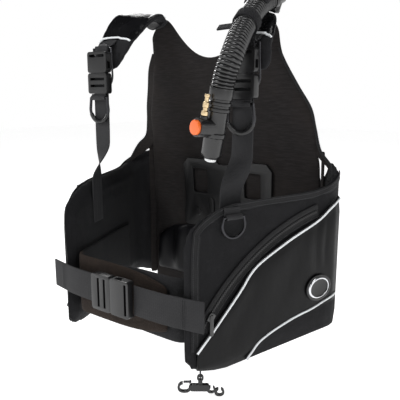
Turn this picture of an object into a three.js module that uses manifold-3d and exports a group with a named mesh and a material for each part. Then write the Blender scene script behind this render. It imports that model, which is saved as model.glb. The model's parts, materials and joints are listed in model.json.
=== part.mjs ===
// Jacket-style diving buoyancy vest, built as separate pieces.
// Millimetres. +X is the wearer's left, -Y the wearer's front, +Z up.
// While modelling, z = 0 is the bottom of the side lobes and y = 0 the middle of the torso.
// At the end everything is moved so that the origin is the middle of the tank pad's rear face.
import * as THREE from "three";
import { mergeVertices } from "three/addons/utils/BufferGeometryUtils.js";
import Module from "manifold-3d";

const wasm = await Module();
wasm.setup();

// ---------------------------------------------------------------- driving dimensions
const GAP = 0.4; // room between pieces that lie against each other
const FRONT_HALF_WIDTH = 150; // lobes' front edges, from the middle
const FRONT_Y = -183; // lobes' front edges, forward of the middle
const SIDE_HALF_WIDTH = 250; // where the flat side panel ends
const SIDE_Y = 60;
const REAR_CORNER_RADIUS = 65;
const LOBE_THICKNESS = 24;
const POCKET_THICKNESS = 5.6;
const BACK_THICKNESS = 8;
const AIR_CELL_REAR_Y = 146;
const AIR_CELL_INSET = 45; // narrower than the back panel beside the armholes
const BACK_BOTTOM = 12;
const PLATE_THICKNESS = 6;
const TANK_PAD_WIDTH = 96;
const TANK_PAD_HEIGHT = 170;
const TANK_PAD_THICKNESS = 16.6;
const TANK_PAD_Z = 200;
const TANK_RADIUS = 89;
const WAIST_WEBBING = 50;
const SHOULDER_WEBBING = 38;
const WEBBING_THICKNESS = 2.2;
const WAIST_Z = 108;
const WAIST_Y = -201.5;
const WAIST_BUCKLE_THICKNESS = 14;
const WAIST_STROKE = 32;
const SHOULDER_STROKE = 28;
const SHOULDER_X = 158;
const SHOULDER_BUCKLE_Y = -73.5;
const SHOULDER_BUCKLE_Z = 459;
const RIGHT_SHOULDER_RISE = 8; // the right shoulder sits a little higher
const SHOULDER_BUCKLE_THICKNESS = 13;
const PULL_RING_WIRE = 2.75;
const PULL_RING_WIDTH = 54;
const PULL_RING_HEIGHT = 50;
const SIDE_RING_WIRE = 2.2;
const SIDE_RING_WIDTH = 45;
const SIDE_RING_HEIGHT = 36;
const EDGE_RING_WIRE = 1.8;
const PAD_WIDTH = 86;
const PAD_THICKNESS = 13;
const CUMMERBUND_THICKNESS = 6;
const CUMMERBUND_BOTTOM = 45;
const CUMMERBUND_TOP = 152;
const HOSE_RADIUS = 17.5;
const INFLATOR_RADIUS = 15.5;
const INFLATOR_LENGTH = 106;
const INFLATE_BUTTON_RADIUS = 11;
const INFLATE_BUTTON_TURN = -73; // degrees from facing the other shoulder round to the front
const DEFLATE_BUTTON_RADIUS = 9;
const BADGE_WIDTH = 54;
const BADGE_HEIGHT = 46;
const BADGE_THICKNESS = 3;
const DUMP_RADIUS = 27;
const ZIP_WIDTH = 12;

// ---------------------------------------------------------------- colours
const CLOTH = [0x1b1b1d, 0.85, 0];
const LINING = [0x2b2626, 0.9, 0];
const GLOSSY = [0x0c0c0e, 0.32, 0];
const WEB = [0x3a3a3c, 0.75, 0];
const PLASTIC = [0x1c1c1e, 0.45, 0];
const RUBBER = [0x141414, 0.6, 0];
const STEEL = [0x6d6d70, 0.3, 1];
const CHROME = [0xc9c9cc, 0.15, 1];
const ORANGE = [0xe8661c, 0.4, 0];
const WHITE = [0xdcdcda, 0.35, 0.2];

// ---------------------------------------------------------------- small helpers
const vector = (x, y, z) => new THREE.Vector3(x, y, z);
const radians = (degrees) => (degrees * Math.PI) / 180;

// Straight-line interpolation in a short profile of [place, value] corners.
function along(profile, place) {
  if (place <= profile[0][0]) {
    return profile[0][1];
  }
  for (let i = 1; i < profile.length; i += 1) {
    const [before, low] = profile[i - 1];
    const [after, high] = profile[i];
    if (place <= after) {
      return low + ((high - low) * (place - before)) / (after - before);
    }
  }
  return profile[profile.length - 1][1];
}

// Evenly spaced numbers, ends included.
const spread = (from, to, count) =>
  Array.from({ length: count }, (_, i) => from + ((to - from) * i) / (count - 1));

function volumeOf(positions, index) {
  let total = 0;
  for (let i = 0; i < index.length; i += 3) {
    const [a, b, c] = [index[i], index[i + 1], index[i + 2]].map((n) => positions[n]);
    total += a.dot(b.clone().cross(c));
  }
  return total;
}

// A closed body from points and faces, turned outward.
function body(points, index) {
  const faces = volumeOf(points, index) < 0 ? index.slice().reverse() : index;
  const geometry = new THREE.BufferGeometry();
  geometry.setAttribute("position", new THREE.Float32BufferAttribute(points.flatMap((p) => [p.x, p.y, p.z]), 3));
  geometry.setIndex(faces);
  return geometry;
}

// A closed slab between two grids of points with the same rows and columns.
function slab(outer, inner) {
  const rows = outer.length;
  const columns = outer[0].length;
  const points = [...outer.flat(), ...inner.flat()];
  const at = (side, i, j) => side * rows * columns + i * columns + j;
  const index = [];
  const quad = (a, b, c, d) => index.push(a, b, c, a, c, d);
  for (let i = 0; i < rows - 1; i += 1) {
    for (let j = 0; j < columns - 1; j += 1) {
      quad(at(0, i, j), at(0, i, j + 1), at(0, i + 1, j + 1), at(0, i + 1, j));
      quad(at(1, i, j), at(1, i + 1, j), at(1, i + 1, j + 1), at(1, i, j + 1));
    }
  }
  for (let j = 0; j < columns - 1; j += 1) {
    quad(at(0, 0, j), at(1, 0, j), at(1, 0, j + 1), at(0, 0, j + 1));
    quad(at(0, rows - 1, j), at(0, rows - 1, j + 1), at(1, rows - 1, j + 1), at(1, rows - 1, j));
  }
  for (let i = 0; i < rows - 1; i += 1) {
    quad(at(0, i, 0), at(0, i + 1, 0), at(1, i + 1, 0), at(1, i, 0));
    quad(at(0, i, columns - 1), at(1, i, columns - 1), at(1, i + 1, columns - 1), at(0, i + 1, columns - 1));
  }
  return body(points, index);
}

// A flat strap along stations {at, wide}: centre line and width direction.
function strap(stations, width, thickness, closed = false) {
  const count = stations.length;
  const rings = stations.map((station, i) => {
    const before = stations[closed ? (i + count - 1) % count : Math.max(i - 1, 0)].at;
    const after = stations[closed ? (i + 1) % count : Math.min(i + 1, count - 1)].at;
    const forward = after.clone().sub(before).normalize();
    const wide = station.wide.clone().normalize();
    const out = forward.clone().cross(wide).normalize();
    const corner = (w, t) =>
      station.at.clone().addScaledVector(wide, (w * width) / 2).addScaledVector(out, (t * thickness) / 2);
    return [corner(-1, -1), corner(1, -1), corner(1, 1), corner(-1, 1)];
  });
  return loft(rings, closed);
}

// A closed body through rings of points; each ring is one loop.
function loft(rings, closed = false) {
  const sides = rings[0].length;
  const count = rings.length;
  const points = rings.flat();
  const index = [];
  const last = closed ? count : count - 1;
  for (let i = 0; i < last; i += 1) {
    const here = i * sides;
    const next = ((i + 1) % count) * sides;
    for (let j = 0; j < sides; j += 1) {
      const k = (j + 1) % sides;
      index.push(here + j, here + k, next + k, here + j, next + k, next + j);
    }
  }
  if (!closed) {
    const end = (count - 1) * sides;
    for (let j = 1; j < sides - 1; j += 1) {
      index.push(0, j + 1, j, end, end + j, end + j + 1);
    }
  }
  return body(points, index);
}

// A round bar of one radius (or one radius for each point) along a line of points.
function rod(line, radius, sides = 10, closed = false, directions = null) {
  const count = line.length;
  let side = null;
  const rings = line.map((point, i) => {
    const before = line[closed ? (i + count - 1) % count : Math.max(i - 1, 0)];
    const after = line[closed ? (i + 1) % count : Math.min(i + 1, count - 1)];
    const forward = directions ? directions[i] : after.clone().sub(before).normalize();
    if (side === null) {
      const guide = Math.abs(forward.z) < 0.8 ? vector(0, 0, 1) : vector(1, 0, 0);
      side = guide.cross(forward).normalize();
    }
    side = side.clone().addScaledVector(forward, -side.dot(forward)).normalize();
    const other = forward.clone().cross(side);
    const size = Array.isArray(radius) ? radius[i] : radius;
    return Array.from({ length: sides }, (_, k) => {
      const angle = (2 * Math.PI * k) / sides;
      return point.clone().addScaledVector(side, size * Math.cos(angle)).addScaledVector(other, size * Math.sin(angle));
    });
  });
  return loft(rings, closed);
}

// Joining and cutting.
function toSolid(geometry) {
  const bare = geometry.clone();
  bare.deleteAttribute("normal");
  bare.deleteAttribute("uv");
  const merged = mergeVertices(bare);
  return new wasm.Manifold(
    new wasm.Mesh({
      numProp: 3,
      vertProperties: new Float32Array(merged.attributes.position.array),
      triVerts: new Uint32Array(merged.index.array),
    }),
  );
}

function fromSolid(solid) {
  const mesh = solid.getMesh();
  const geometry = new THREE.BufferGeometry();
  geometry.setAttribute("position", new THREE.Float32BufferAttribute(mesh.vertProperties, 3));
  geometry.setIndex(Array.from(mesh.triVerts));
  return geometry;
}

function join(...geometries) {
  return fromSolid(geometries.map(toSolid).reduce((a, b) => a.add(b)));
}

function cut(geometry, ...cutters) {
  return fromSolid(cutters.map(toSolid).reduce((a, b) => a.subtract(b), toSolid(geometry)));
}

// A box between two corners.
function box(x0, x1, y0, y1, z0, z1) {
  const geometry = new THREE.BoxGeometry(x1 - x0, y1 - y0, z1 - z0);
  return geometry.translate((x0 + x1) / 2, (y0 + y1) / 2, (z0 + z1) / 2);
}

// A cylinder along x, y or z, from one place to another on that axis.
function cylinder(axis, radius, from, to, a, b, sides = 20) {
  const geometry = new THREE.CylinderGeometry(radius, radius, to - from, sides);
  const middle = (from + to) / 2;
  if (axis === "x") {
    return geometry.rotateZ(Math.PI / 2).translate(middle, a, b);
  }
  if (axis === "y") {
    return geometry.translate(a, middle, b);
  }
  return geometry.rotateX(Math.PI / 2).translate(a, b, middle);
}

// A flat outline in x and z, given a thickness from y0 to y1.
function plate(outline, y0, y1, holes = []) {
  const shape = new THREE.Shape(outline.map(([x, z]) => new THREE.Vector2(x, z)));
  holes.forEach((hole) => shape.holes.push(new THREE.Path(hole.map(([x, z]) => new THREE.Vector2(x, z)))));
  const geometry = new THREE.ExtrudeGeometry(shape, { depth: y1 - y0, bevelEnabled: false, steps: 1 });
  return geometry.rotateX(Math.PI / 2).translate(0, y1, 0);
}

// Corners of a rectangle with rounded corners, as [x, z].
function rounded(x0, x1, z0, z1, radius, steps = 3) {
  const corners = [
    [x1 - radius, z1 - radius, 0],
    [x0 + radius, z1 - radius, 90],
    [x0 + radius, z0 + radius, 180],
    [x1 - radius, z0 + radius, 270],
  ];
  return corners.flatMap(([x, z, start]) =>
    spread(0, 90, steps + 1).map((turn) => [
      x + radius * Math.cos(radians(start + turn)),
      z + radius * Math.sin(radians(start + turn)),
    ]),
  );
}

// Turn a local frame (x across, -y outward, z up) onto a place with the given axes.
function placed(geometry, origin, across, outward) {
  const up = outward.clone().negate();
  const x = across.clone().normalize();
  const y = up.normalize();
  const z = x.clone().cross(y).normalize();
  const matrix = new THREE.Matrix4().makeBasis(x, y, z).setPosition(origin);
  return geometry.applyMatrix4(matrix);
}

const group = new THREE.Group();
group.name = "buoyancy_vest";

function add(name, geometry, [color, roughness, metalness]) {
  const clean = geometry.clone();
  clean.deleteAttribute("uv");
  clean.deleteAttribute("normal");
  const merged = mergeVertices(clean, 1e-5);
  const flat = merged.toNonIndexed();
  flat.computeVertexNormals();
  const mesh = new THREE.Mesh(flat, new THREE.MeshStandardMaterial({ color, roughness, metalness }));
  mesh.name = name;
  group.add(mesh);
  return geometry;
}

function addBoth(name, make, colour) {
  add(`left_${name}`, make(1), colour);
  add(`right_${name}`, make(-1), colour);
}

// ---------------------------------------------------------------- side of the torso
const sideLength = Math.hypot(SIDE_HALF_WIDTH - FRONT_HALF_WIDTH, SIDE_Y - FRONT_Y);
const sideAlongX = (SIDE_HALF_WIDTH - FRONT_HALF_WIDTH) / sideLength;
const sideAlongY = (SIDE_Y - FRONT_Y) / sideLength;
const sideHeading = Math.atan2(sideAlongY, sideAlongX);

// A place on the vest's outside: distance s rearward from the front edge, height z,
// offset outward; hand 1 is the wearer's left, -1 the right.
function onSide(s, z, offset, hand) {
  if (s <= sideLength) {
    const x = FRONT_HALF_WIDTH + sideAlongX * s + sideAlongY * offset;
    const y = FRONT_Y + sideAlongY * s - sideAlongX * offset;
    return vector(hand * x, y, z);
  }
  const turn = sideHeading + (s - sideLength) / REAR_CORNER_RADIUS;
  const x = SIDE_HALF_WIDTH + REAR_CORNER_RADIUS * (Math.sin(turn) - Math.sin(sideHeading));
  const y = SIDE_Y - REAR_CORNER_RADIUS * (Math.cos(turn) - Math.cos(sideHeading));
  return vector(hand * (x + Math.sin(turn) * offset), y - Math.cos(turn) * offset, z);
}
const sideAcross = (hand) => vector(sideAlongX * hand, sideAlongY, 0);
const sideOutward = (hand) => vector(sideAlongY * hand, -sideAlongX, 0);

// Something modelled in the side panel's own frame: x rearward, -y outward, z up.
function onSideFrame(geometry, s, z, offset, hand) {
  if (hand > 0) {
    return placed(geometry, onSide(s, z, offset, 1), sideAcross(1), sideOutward(1));
  }
  const there = placed(geometry, onSide(s, z, offset, 1), sideAcross(1), sideOutward(1));
  const mirrored = there.clone();
  mirrored.scale(-1, 1, 1);
  const merged = mirrored.index ? mirrored : mergeVertices(mirrored);
  merged.setIndex(Array.from(merged.index.array).reverse());
  return merged;
}

// ---------------------------------------------------------------- lobes and pockets
const lobeEndTurn = radians(158);
const lobeEnd = sideLength + (lobeEndTurn - sideHeading) * REAR_CORNER_RADIUS;
const lobeTop = [
  [-8, 212],
  [0, 234],
  [20, 248],
  [48, 260],
  [100, 268],
  [220, 271],
  [263, 278],
  [310, 294],
  [lobeEnd, 309],
];
const lobeBottom = [
  [-8, 30],
  [0, 18],
  [8, 11],
  [34, 5],
  [60, 3],
  [130, 10],
  [260, 23],
  [300, 24],
  [lobeEnd, 14],
];
const lobeFace = -(POCKET_THICKNESS + GAP);
const lobeStations = [-8, 0, 8, 20, 34, 60, 100, 150, 205, 240, 263, 280, 296, 318, 342, lobeEnd];
const lobeRows = [0, 0.03, 0.1, 0.35, 0.65, 0.9, 0.97, 1];

function lobe(hand) {
  const outer = [];
  const inner = [];
  lobeRows.forEach((share) => {
    const rim = Math.min(1, 0.35 + Math.min(share, 1 - share) * 8);
    outer.push([]);
    inner.push([]);
    lobeStations.forEach((s) => {
      const z = along(lobeBottom, s) + (along(lobeTop, s) - along(lobeBottom, s)) * share;
      const front = along([[-8, 0.4], [8, 0.8], [34, 1]], s);
      outer[outer.length - 1].push(onSide(s, z, lobeFace, hand));
      inner[inner.length - 1].push(onSide(s, z, lobeFace - LOBE_THICKNESS * rim * front, hand));
    });
  });
  return slab(outer, inner);
}
addBoth("lobe", lobe, CLOTH);

// The pocket panel covers the lobe below this line.
const pocketTop = [
  [6, 44],
  [38, 78],
  [83, 129],
  [103, 155],
  [125, 172],
  [180, 199],
  [237, 223],
  [267, 243],
  [296, 258],
];
function pocket(hand) {
  const stations = [7, 20, 38, 60, 83, 103, 125, 150, 180, 210, 237, 252, 263, 280, 296];
  const rows = [0, 0.12, 0.5, 0.88, 1];
  const outer = [];
  const inner = [];
  rows.forEach((share) => {
    const rim = share === 0 || share === 1 ? 0.5 : 1;
    outer.push([]);
    inner.push([]);
    stations.forEach((s) => {
      const low = along(lobeBottom, s) + 1;
      const z = low + (along(pocketTop, s) - low) * share;
      outer[outer.length - 1].push(onSide(s, z, -POCKET_THICKNESS * (1 - rim), hand));
      inner[inner.length - 1].push(onSide(s, z, -POCKET_THICKNESS, hand));
    });
  });
  return slab(outer, inner);
}
addBoth("pocket", pocket, GLOSSY);

// Zip: one circle arc in the side panel, through three places.
function circleThrough([ax, ay], [bx, by], [cx, cy]) {
  const d = 2 * (ax * (by - cy) + bx * (cy - ay) + cx * (ay - by));
  const a = ax * ax + ay * ay;
  const b = bx * bx + by * by;
  const c = cx * cx + cy * cy;
  const x = (a * (by - cy) + b * (cy - ay) + c * (ay - by)) / d;
  const y = (a * (cx - bx) + b * (ax - cx) + c * (bx - ax)) / d;
  return { x, y, radius: Math.hypot(ax - x, ay - y) };
}
const zipStart = [16, 75];
const zipEnd = [240, 238];
const zipCircle = circleThrough(zipStart, [105, 174], zipEnd);
const zipAngle = ([s, z]) => Math.atan2(z - zipCircle.y, s - zipCircle.x);
const zipFrom = zipAngle(zipStart);
const zipTo = zipAngle(zipEnd);
const zipFace = lobeFace + GAP;
const ZIP_THICKNESS = 2.8;

function zipChain(hand) {
  const outer = [[], []];
  const inner = [[], []];
  spread(zipFrom, zipTo, 18).forEach((angle) => {
    [-0.5, 0.5].forEach((side, row) => {
      const radius = zipCircle.radius + side * ZIP_WIDTH;
      const s = zipCircle.x + radius * Math.cos(angle);
      const z = zipCircle.y + radius * Math.sin(angle);
      outer[row].push(onSide(s, z, zipFace + ZIP_THICKNESS, hand));
      inner[row].push(onSide(s, z, zipFace, hand));
    });
  });
  return slab(outer, inner);
}
addBoth("zip_chain", zipChain, RUBBER);

const sliderAngle = zipFrom + (zipTo - zipFrom) * 0.09;
const sliderS = zipCircle.x + zipCircle.radius * Math.cos(sliderAngle);
const sliderZ = zipCircle.y + zipCircle.radius * Math.sin(sliderAngle);
function zipSlider(hand) {
  const face = zipFace + ZIP_THICKNESS + GAP;
  const rise = 4.2;
  const block = plate(rounded(-5.5, 5.5, -7, 7, 2.5), -rise, 0);
  const tilt = sliderAngle + Math.PI / 2;
  block.rotateY(-(tilt - Math.PI / 2));
  const tab = plate(rounded(-3.2, 3.2, -30, 4, 2.4), -rise - 1.4, -rise + 1.4);
  return onSideFrame(join(block, tab), sliderS, sliderZ, face, hand);
}
addBoth("zip_slider", zipSlider, STEEL);

// Badge: a plain oval plate with a raised rim and a plain bar, no mark.
const badgeS = 243;
const badgeZ = 105;
function badge() {
  const oval = (across, high) =>
    spread(0, 360, 29)
      .slice(0, 28)
      .map((turn) => [(across / 2) * Math.cos(radians(turn)), (high / 2) * Math.sin(radians(turn))]);
  const base = plate(oval(BADGE_WIDTH, BADGE_HEIGHT), -BADGE_THICKNESS, 0);
  const dish = plate(oval(BADGE_WIDTH - 9, BADGE_HEIGHT - 9), -BADGE_THICKNESS - 1, -BADGE_THICKNESS + 1.2);
  return onSideFrame(cut(base, dish), badgeS, badgeZ, GAP, 1);
}
add("left_badge", badge(), STEEL);

// ---------------------------------------------------------------- rings and their webbing tabs
// A D-shaped ring in x and z: bar along x through the origin, bow hanging below.
function dRing(width, height, wire) {
  const half = width / 2 - wire;
  const drop = height - 2 * wire;
  const line = [];
  spread(-half + wire, half - wire, 4).forEach((x) => line.push(vector(x, 0, 0)));
  spread(0, 180, 15).forEach((turn) => {
    const angle = radians(turn);
    const straight = Math.max(drop - half, 2);
    line.push(vector(half * Math.cos(angle), 0, -straight - (drop - straight) * Math.sin(angle)));
  });
  return rod(line, wire, 6, true);
}

// A sleeve of webbing round a bar at the origin, with a sewn strip.
function sleeve(width, wire, strip) {
  const hole = wire + GAP;
  const tube = cylinder("x", hole + 1.7, -width / 2, width / 2, 0, 0, 16);
  return cut(join(tube, strip), cylinder("x", hole, -width, width, 0, 0, 16));
}

const sideRingS = 69;
const sideRingZ = 248;
const sideRingOffset = lobeFace + GAP + SIDE_RING_WIRE + GAP + 1.7 + 1.5;
function sideRing(hand) {
  const ring = dRing(SIDE_RING_WIDTH, SIDE_RING_HEIGHT, SIDE_RING_WIRE);
  return onSideFrame(ring, sideRingS, sideRingZ, sideRingOffset, hand);
}
function sideRingTab(hand) {
  const wide = SIDE_RING_WIDTH - 6 * SIDE_RING_WIRE - 4;
  const back = sideRingOffset - lobeFace - GAP;
  const strip = box(-wide / 2, wide / 2, back - 2.4, back, -3, 14);
  return onSideFrame(sleeve(wide, SIDE_RING_WIRE, strip), sideRingS, sideRingZ, sideRingOffset, hand);
}
addBoth("lobe_ring", sideRing, STEEL);
addBoth("lobe_ring_tab", sideRingTab, WEB);

// ---------------------------------------------------------------- back
const backY = [
  [0, 125],
  [150, 125],
  [300, 115],
  [392, 96],
  [493, 60],
  [560, 50],
];
const backHalfWidth = [
  [0, 203],
  [312, 201],
  [324, 197],
  [346, 193],
  [370, 193],
  [395, 190],
  [452, 160],
  [500, 145],
  [560, 143],
];
const neckLine = [
  [0, 493],
  [0.25, 503],
  [0.5, 533],
  [0.72, 572],
  [1, 536],
];
// The panels' side edges lie against the lobes' rear ends, which slope like this.
const lobeEndInner = onSide(lobeEnd, 0, lobeFace - LOBE_THICKNESS, 1);
const sideSlant = Math.sin(lobeEndTurn) / -Math.cos(lobeEndTurn);
const lobeEndTop = along(lobeTop, lobeEnd) + 3;
function backEdge(y, z) {
  const beside = lobeEndInner.x + (y - lobeEndInner.y) * sideSlant - 1.4 * GAP;
  const free = along(backHalfWidth, z) + (y - along(backY, z)) * sideSlant;
  return z <= lobeEndTop ? beside : Math.min(beside, free);
}
const backHeights = [BACK_BOTTOM + 18, 150, 225, 300, lobeEndTop, lobeEndTop + 12, 346, 370, 392];
const backShares = [0.3, 0.6, 0.8, 0.93, 1];
function backRows(bottom, top) {
  const last = backHeights[backHeights.length - 1];
  return [bottom, ...backHeights, ...backShares.map((share) => last + (top - last) * share)];
}
const backColumns = [-1, -0.83, -0.67, -0.5, -0.25, 0, 0.25, 0.5, 0.67, 0.83, 1];

function backGrid(bottom, topOf, nearOf, farOf, inset = 0) {
  const count = backRows(0, 500).length;
  const outer = Array.from({ length: count }, () => []);
  const inner = Array.from({ length: count }, () => []);
  backColumns.forEach((column) => {
    backRows(bottom, topOf(Math.abs(column))).forEach((z, row) => {
      const rim = row === 0 || row === count - 1 ? 0.6 : 1;
      const near = nearOf(z);
      const far = near + (farOf(z) - near) * rim;
      const less = inset * Math.min(1, Math.max(0, (z - 270) / 60));
      inner[row].push(vector(column * (backEdge(near, z) - less), near, z));
      outer[row].push(vector(column * (backEdge(far, z) - less), far, z));
    });
  });
  return slab(outer, inner);
}
function backPanel() {
  const face = (z) => along(backY, z);
  return backGrid(BACK_BOTTOM, (column) => along(neckLine, column), face, (z) => face(z) + BACK_THICKNESS);
}
add("back_panel", backPanel(), LINING);

const airCellTop = 462;
function airCellRear(z) {
  return AIR_CELL_REAR_Y - (along(backY, 300) - along(backY, Math.max(z, 300)));
}
function airCell() {
  const near = (z) => along(backY, z) + BACK_THICKNESS + GAP;
  return backGrid(BACK_BOTTOM + 3, (column) => airCellTop - 34 * column * column, near, airCellRear, AIR_CELL_INSET);
}
add("back_air_cell", airCell(), CLOTH);

// Moulded plate inside the back: flat, leaning with the panel between these heights.
const plateLow = 151;
const plateHigh = 297;
const plateLean = Math.atan2(along(backY, plateLow) - along(backY, plateHigh), plateHigh - plateLow);
function backplate() {
  const high = plateHigh - plateLow;
  const outline = [
    [-112, 6],
    [-104, 0],
    [104, 0],
    [112, 6],
    [106, 60],
    [108, high - 14],
    [96, high],
    [24, high],
    [16, high - 9],
    [-16, high - 9],
    [-24, high],
    [-96, high],
    [-108, high - 14],
    [-106, 60],
  ];
  const slots = [-1, 1].map((side) => rounded(side * 64 - 19, side * 64 + 19, 74, 126, 4));
  const sheet = plate(outline, -PLATE_THICKNESS, 0, slots);
  const extras = [-1, 1].flatMap((side) => [
    cylinder("y", 8, -PLATE_THICKNESS - 3, -PLATE_THICKNESS + 1, side * 72, 32, 20),
    plate(rounded(side * 34 - 6, side * 34 + 6, 4, 66, 5), -PLATE_THICKNESS - 5, -PLATE_THICKNESS + 1),
  ]);
  const whole = join(sheet, ...extras);
  whole.rotateX(plateLean);
  return whole.translate(0, along(backY, plateLow) - GAP, plateLow);
}
add("backplate", backplate(), PLASTIC);

// Ribbed lumbar pad under the plate.
function lumbarPad() {
  const crests = [0.31, 0.68, 0.95];
  const columns = spread(-1, 1, 35);
  const rows = [0, 0.08, 0.5, 0.92, 1];
  const outer = [];
  const inner = [];
  rows.forEach((share) => {
    const rim = share === 0 || share === 1 ? 0.3 : 1;
    outer.push([]);
    inner.push([]);
    columns.forEach((column) => {
      const place = Math.abs(column);
      const top = along([[0, 149], [0.55, 149], [0.8, 140], [1, 116]], place);
      const z = 34 + (top - 34) * share;
      const nearest = Math.min(...crests.map((crest) => Math.abs(crest - place)));
      const rib = Math.max(0, 1 - (nearest / 0.085) ** 2);
      const x = column * (194 - 0.07 * z);
      const y = along(backY, z) - GAP;
      inner[inner.length - 1].push(vector(x, y, z));
      outer[outer.length - 1].push(vector(x, y - (5 + 9 * rib) * rim, z));
    });
  });
  return slab(outer, inner);
}
add("lumbar_pad", lumbarPad(), GLOSSY);

// Tank pad, with a channel for the band on its front.
const tankPadFront = AIR_CELL_REAR_Y + GAP;
const tankPadRear = tankPadFront + TANK_PAD_THICKNESS;
const bandRoom = WEBBING_THICKNESS + 2 * GAP;
function tankPad() {
  const half = TANK_PAD_WIDTH / 2;
  const low = TANK_PAD_Z - TANK_PAD_HEIGHT / 2;
  const slabOfRubber = plate(rounded(-half, half, low, low + TANK_PAD_HEIGHT, 12), tankPadFront, tankPadRear);
  const channel = box(
    -half - 5,
    half + 5,
    tankPadFront - 5,
    tankPadFront + bandRoom,
    TANK_PAD_Z - WAIST_WEBBING / 2 - 1.5,
    TANK_PAD_Z + WAIST_WEBBING / 2 + 1.5,
  );
  return cut(slabOfRubber, channel);
}
add("tank_pad", tankPad(), RUBBER);

const bandY = tankPadFront + bandRoom / 2;
const tankY = tankPadRear + GAP + TANK_RADIUS;
const bandRadius = TANK_RADIUS + 1 + WEBBING_THICKNESS / 2;
function tankBand() {
  const half = TANK_PAD_WIDTH / 2 + 3;
  const line = spread(-half, half, 3).map((x) => vector(x, bandY, TANK_PAD_Z));
  spread(-46, 226, 26).forEach((turn) => {
    line.push(
      vector(bandRadius * Math.cos(radians(turn)), tankY + bandRadius * Math.sin(radians(turn)), TANK_PAD_Z),
    );
  });
  return strap(line.map((at) => ({ at, wide: vector(0, 0, 1) })), WAIST_WEBBING, WEBBING_THICKNESS, true);
}
add("tank_band", tankBand(), WEB);

// Cam buckle on the band, at the rear left; local frame x across, -y outward, z up.
const camTurn = radians(62);
const camOutward = vector(Math.cos(camTurn), Math.sin(camTurn), 0);
const camAcross = vector(-Math.sin(camTurn), Math.cos(camTurn), 0);
const camOrigin = vector(0, tankY, TANK_PAD_Z).addScaledVector(
  camOutward,
  bandRadius + WEBBING_THICKNESS / 2 + 0.6,
);
const camPinX = -22;
const camPinRise = 9;
function camBase() {
  const half = WAIST_WEBBING / 2;
  const foot = plate(rounded(-31, 31, -half - 4, half + 4, 4), -3.6, 0);
  const ears = [-1, 1].map((side) => {
    const low = side < 0 ? -half - 4 : half + 0.6;
    return box(camPinX - 6, camPinX + 6, -camPinRise - 5, -3, low, low + 3.4);
  });
  return placed(join(foot, ...ears), camOrigin, camAcross, camOutward);
}
function camLever() {
  const half = WAIST_WEBBING / 2;
  const barrel = cylinder("z", 4.6, -half, half, camPinX, -camPinRise, 20);
  const arm = plate(rounded(camPinX, 30, -half + 2, half - 2, 5), -camPinRise - 4.2, -camPinRise + 1.4);
  return placed(join(barrel, arm), camOrigin, camAcross, camOutward);
}
add("cam_base", camBase(), PLASTIC);
add("cam_lever", camLever(), PLASTIC);

// Grab handle behind the neck.
function grabHandle() {
  const z = 480;
  const lean = (along(backY, 493) - along(backY, 460)) / 33;
  const rear = along(backY, z) + BACK_THICKNESS * Math.hypot(1, lean) + GAP + 2.2;
  const wide = vector(0, lean, 1);
  const places = [
    [-62, 0],
    [-44, 0],
    [-36, 5],
    [-24, 15],
    [0, 20],
    [24, 15],
    [36, 5],
    [44, 0],
    [62, 0],
  ];
  return strap(places.map(([x, out]) => ({ at: vector(x, rear + out, z), wide })), 25, 2.4);
}
add("grab_handle", grabHandle(), WEB);

// Rear dump valve, low on the wearer's right.
const dumpX = -152;
const dumpZ = 62;
function dumpValve() {
  const y = AIR_CELL_REAR_Y + GAP;
  const disc = cylinder("y", DUMP_RADIUS, y, y + 7, dumpX, dumpZ, 28);
  const dome = cylinder("y", DUMP_RADIUS * 0.72, y + 6, y + 12, dumpX, dumpZ, 28);
  return cut(join(disc, dome), cylinder("y", 7.4, y + 5, y + 20, dumpX, dumpZ, 20));
}
function dumpKnob() {
  const y = AIR_CELL_REAR_Y + GAP + 5 + GAP;
  const stem = cylinder("y", 5, y, y + 12, dumpX, dumpZ, 16);
  return join(stem, cylinder("y", 9.5, y + 8, y + 13, dumpX, dumpZ, 20));
}
add("dump_valve", dumpValve(), PLASTIC);
add("dump_knob", dumpKnob(), PLASTIC);

// ---------------------------------------------------------------- cummerbund and waist belt
const cummerbundOffset = lobeFace - LOBE_THICKNESS - 0.6 - CUMMERBUND_THICKNESS / 2;
const underY = -171.5;
const overY = underY - CUMMERBUND_THICKNESS - 0.6;
function cummerbund(hand, frontY, endX) {
  const line = [];
  spread(228, 30, 6).forEach((s) => line.push(onSide(s, 0, cummerbundOffset, 1)));
  const turn = line[line.length - 1];
  line.push(vector(turn.x - 3.5, turn.y - 10, 0));
  line.push(vector(121, frontY + 12, 0));
  line.push(vector(113, frontY + 3.5, 0));
  line.push(vector(102, frontY, 0));
  spread(70, endX, 4).forEach((x) => line.push(vector(x, frontY, 0)));
  const rowShare = [0, 0.06, 0.5, 0.94, 1];
  const outer = rowShare.map(() => []);
  const inner = rowShare.map(() => []);
  line.forEach((place, i) => {
    const before = line[Math.max(i - 1, 0)];
    const after = line[Math.min(i + 1, line.length - 1)];
    const forward = after.clone().sub(before).normalize();
    const out = vector(-forward.y, forward.x, 0);
    const ending = i === line.length - 1 ? 16 : i === line.length - 2 ? 3 : 0;
    rowShare.forEach((share, row) => {
      const rim = share === 0 || share === 1 ? 0.5 : 1;
      const z = CUMMERBUND_BOTTOM + ending + (CUMMERBUND_TOP - CUMMERBUND_BOTTOM - 2 * ending) * share;
      const half = (CUMMERBUND_THICKNESS / 2) * rim;
      const at = (offset) => vector(hand * (place.x + out.x * offset), place.y + out.y * offset, z);
      outer[row].push(at(half));
      inner[row].push(at(-half));
    });
  });
  return slab(outer, inner);
}
add("left_cummerbund", cummerbund(1, underY, -70), CLOTH);
add("right_cummerbund", cummerbund(-1, overY, -96), LINING);

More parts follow.
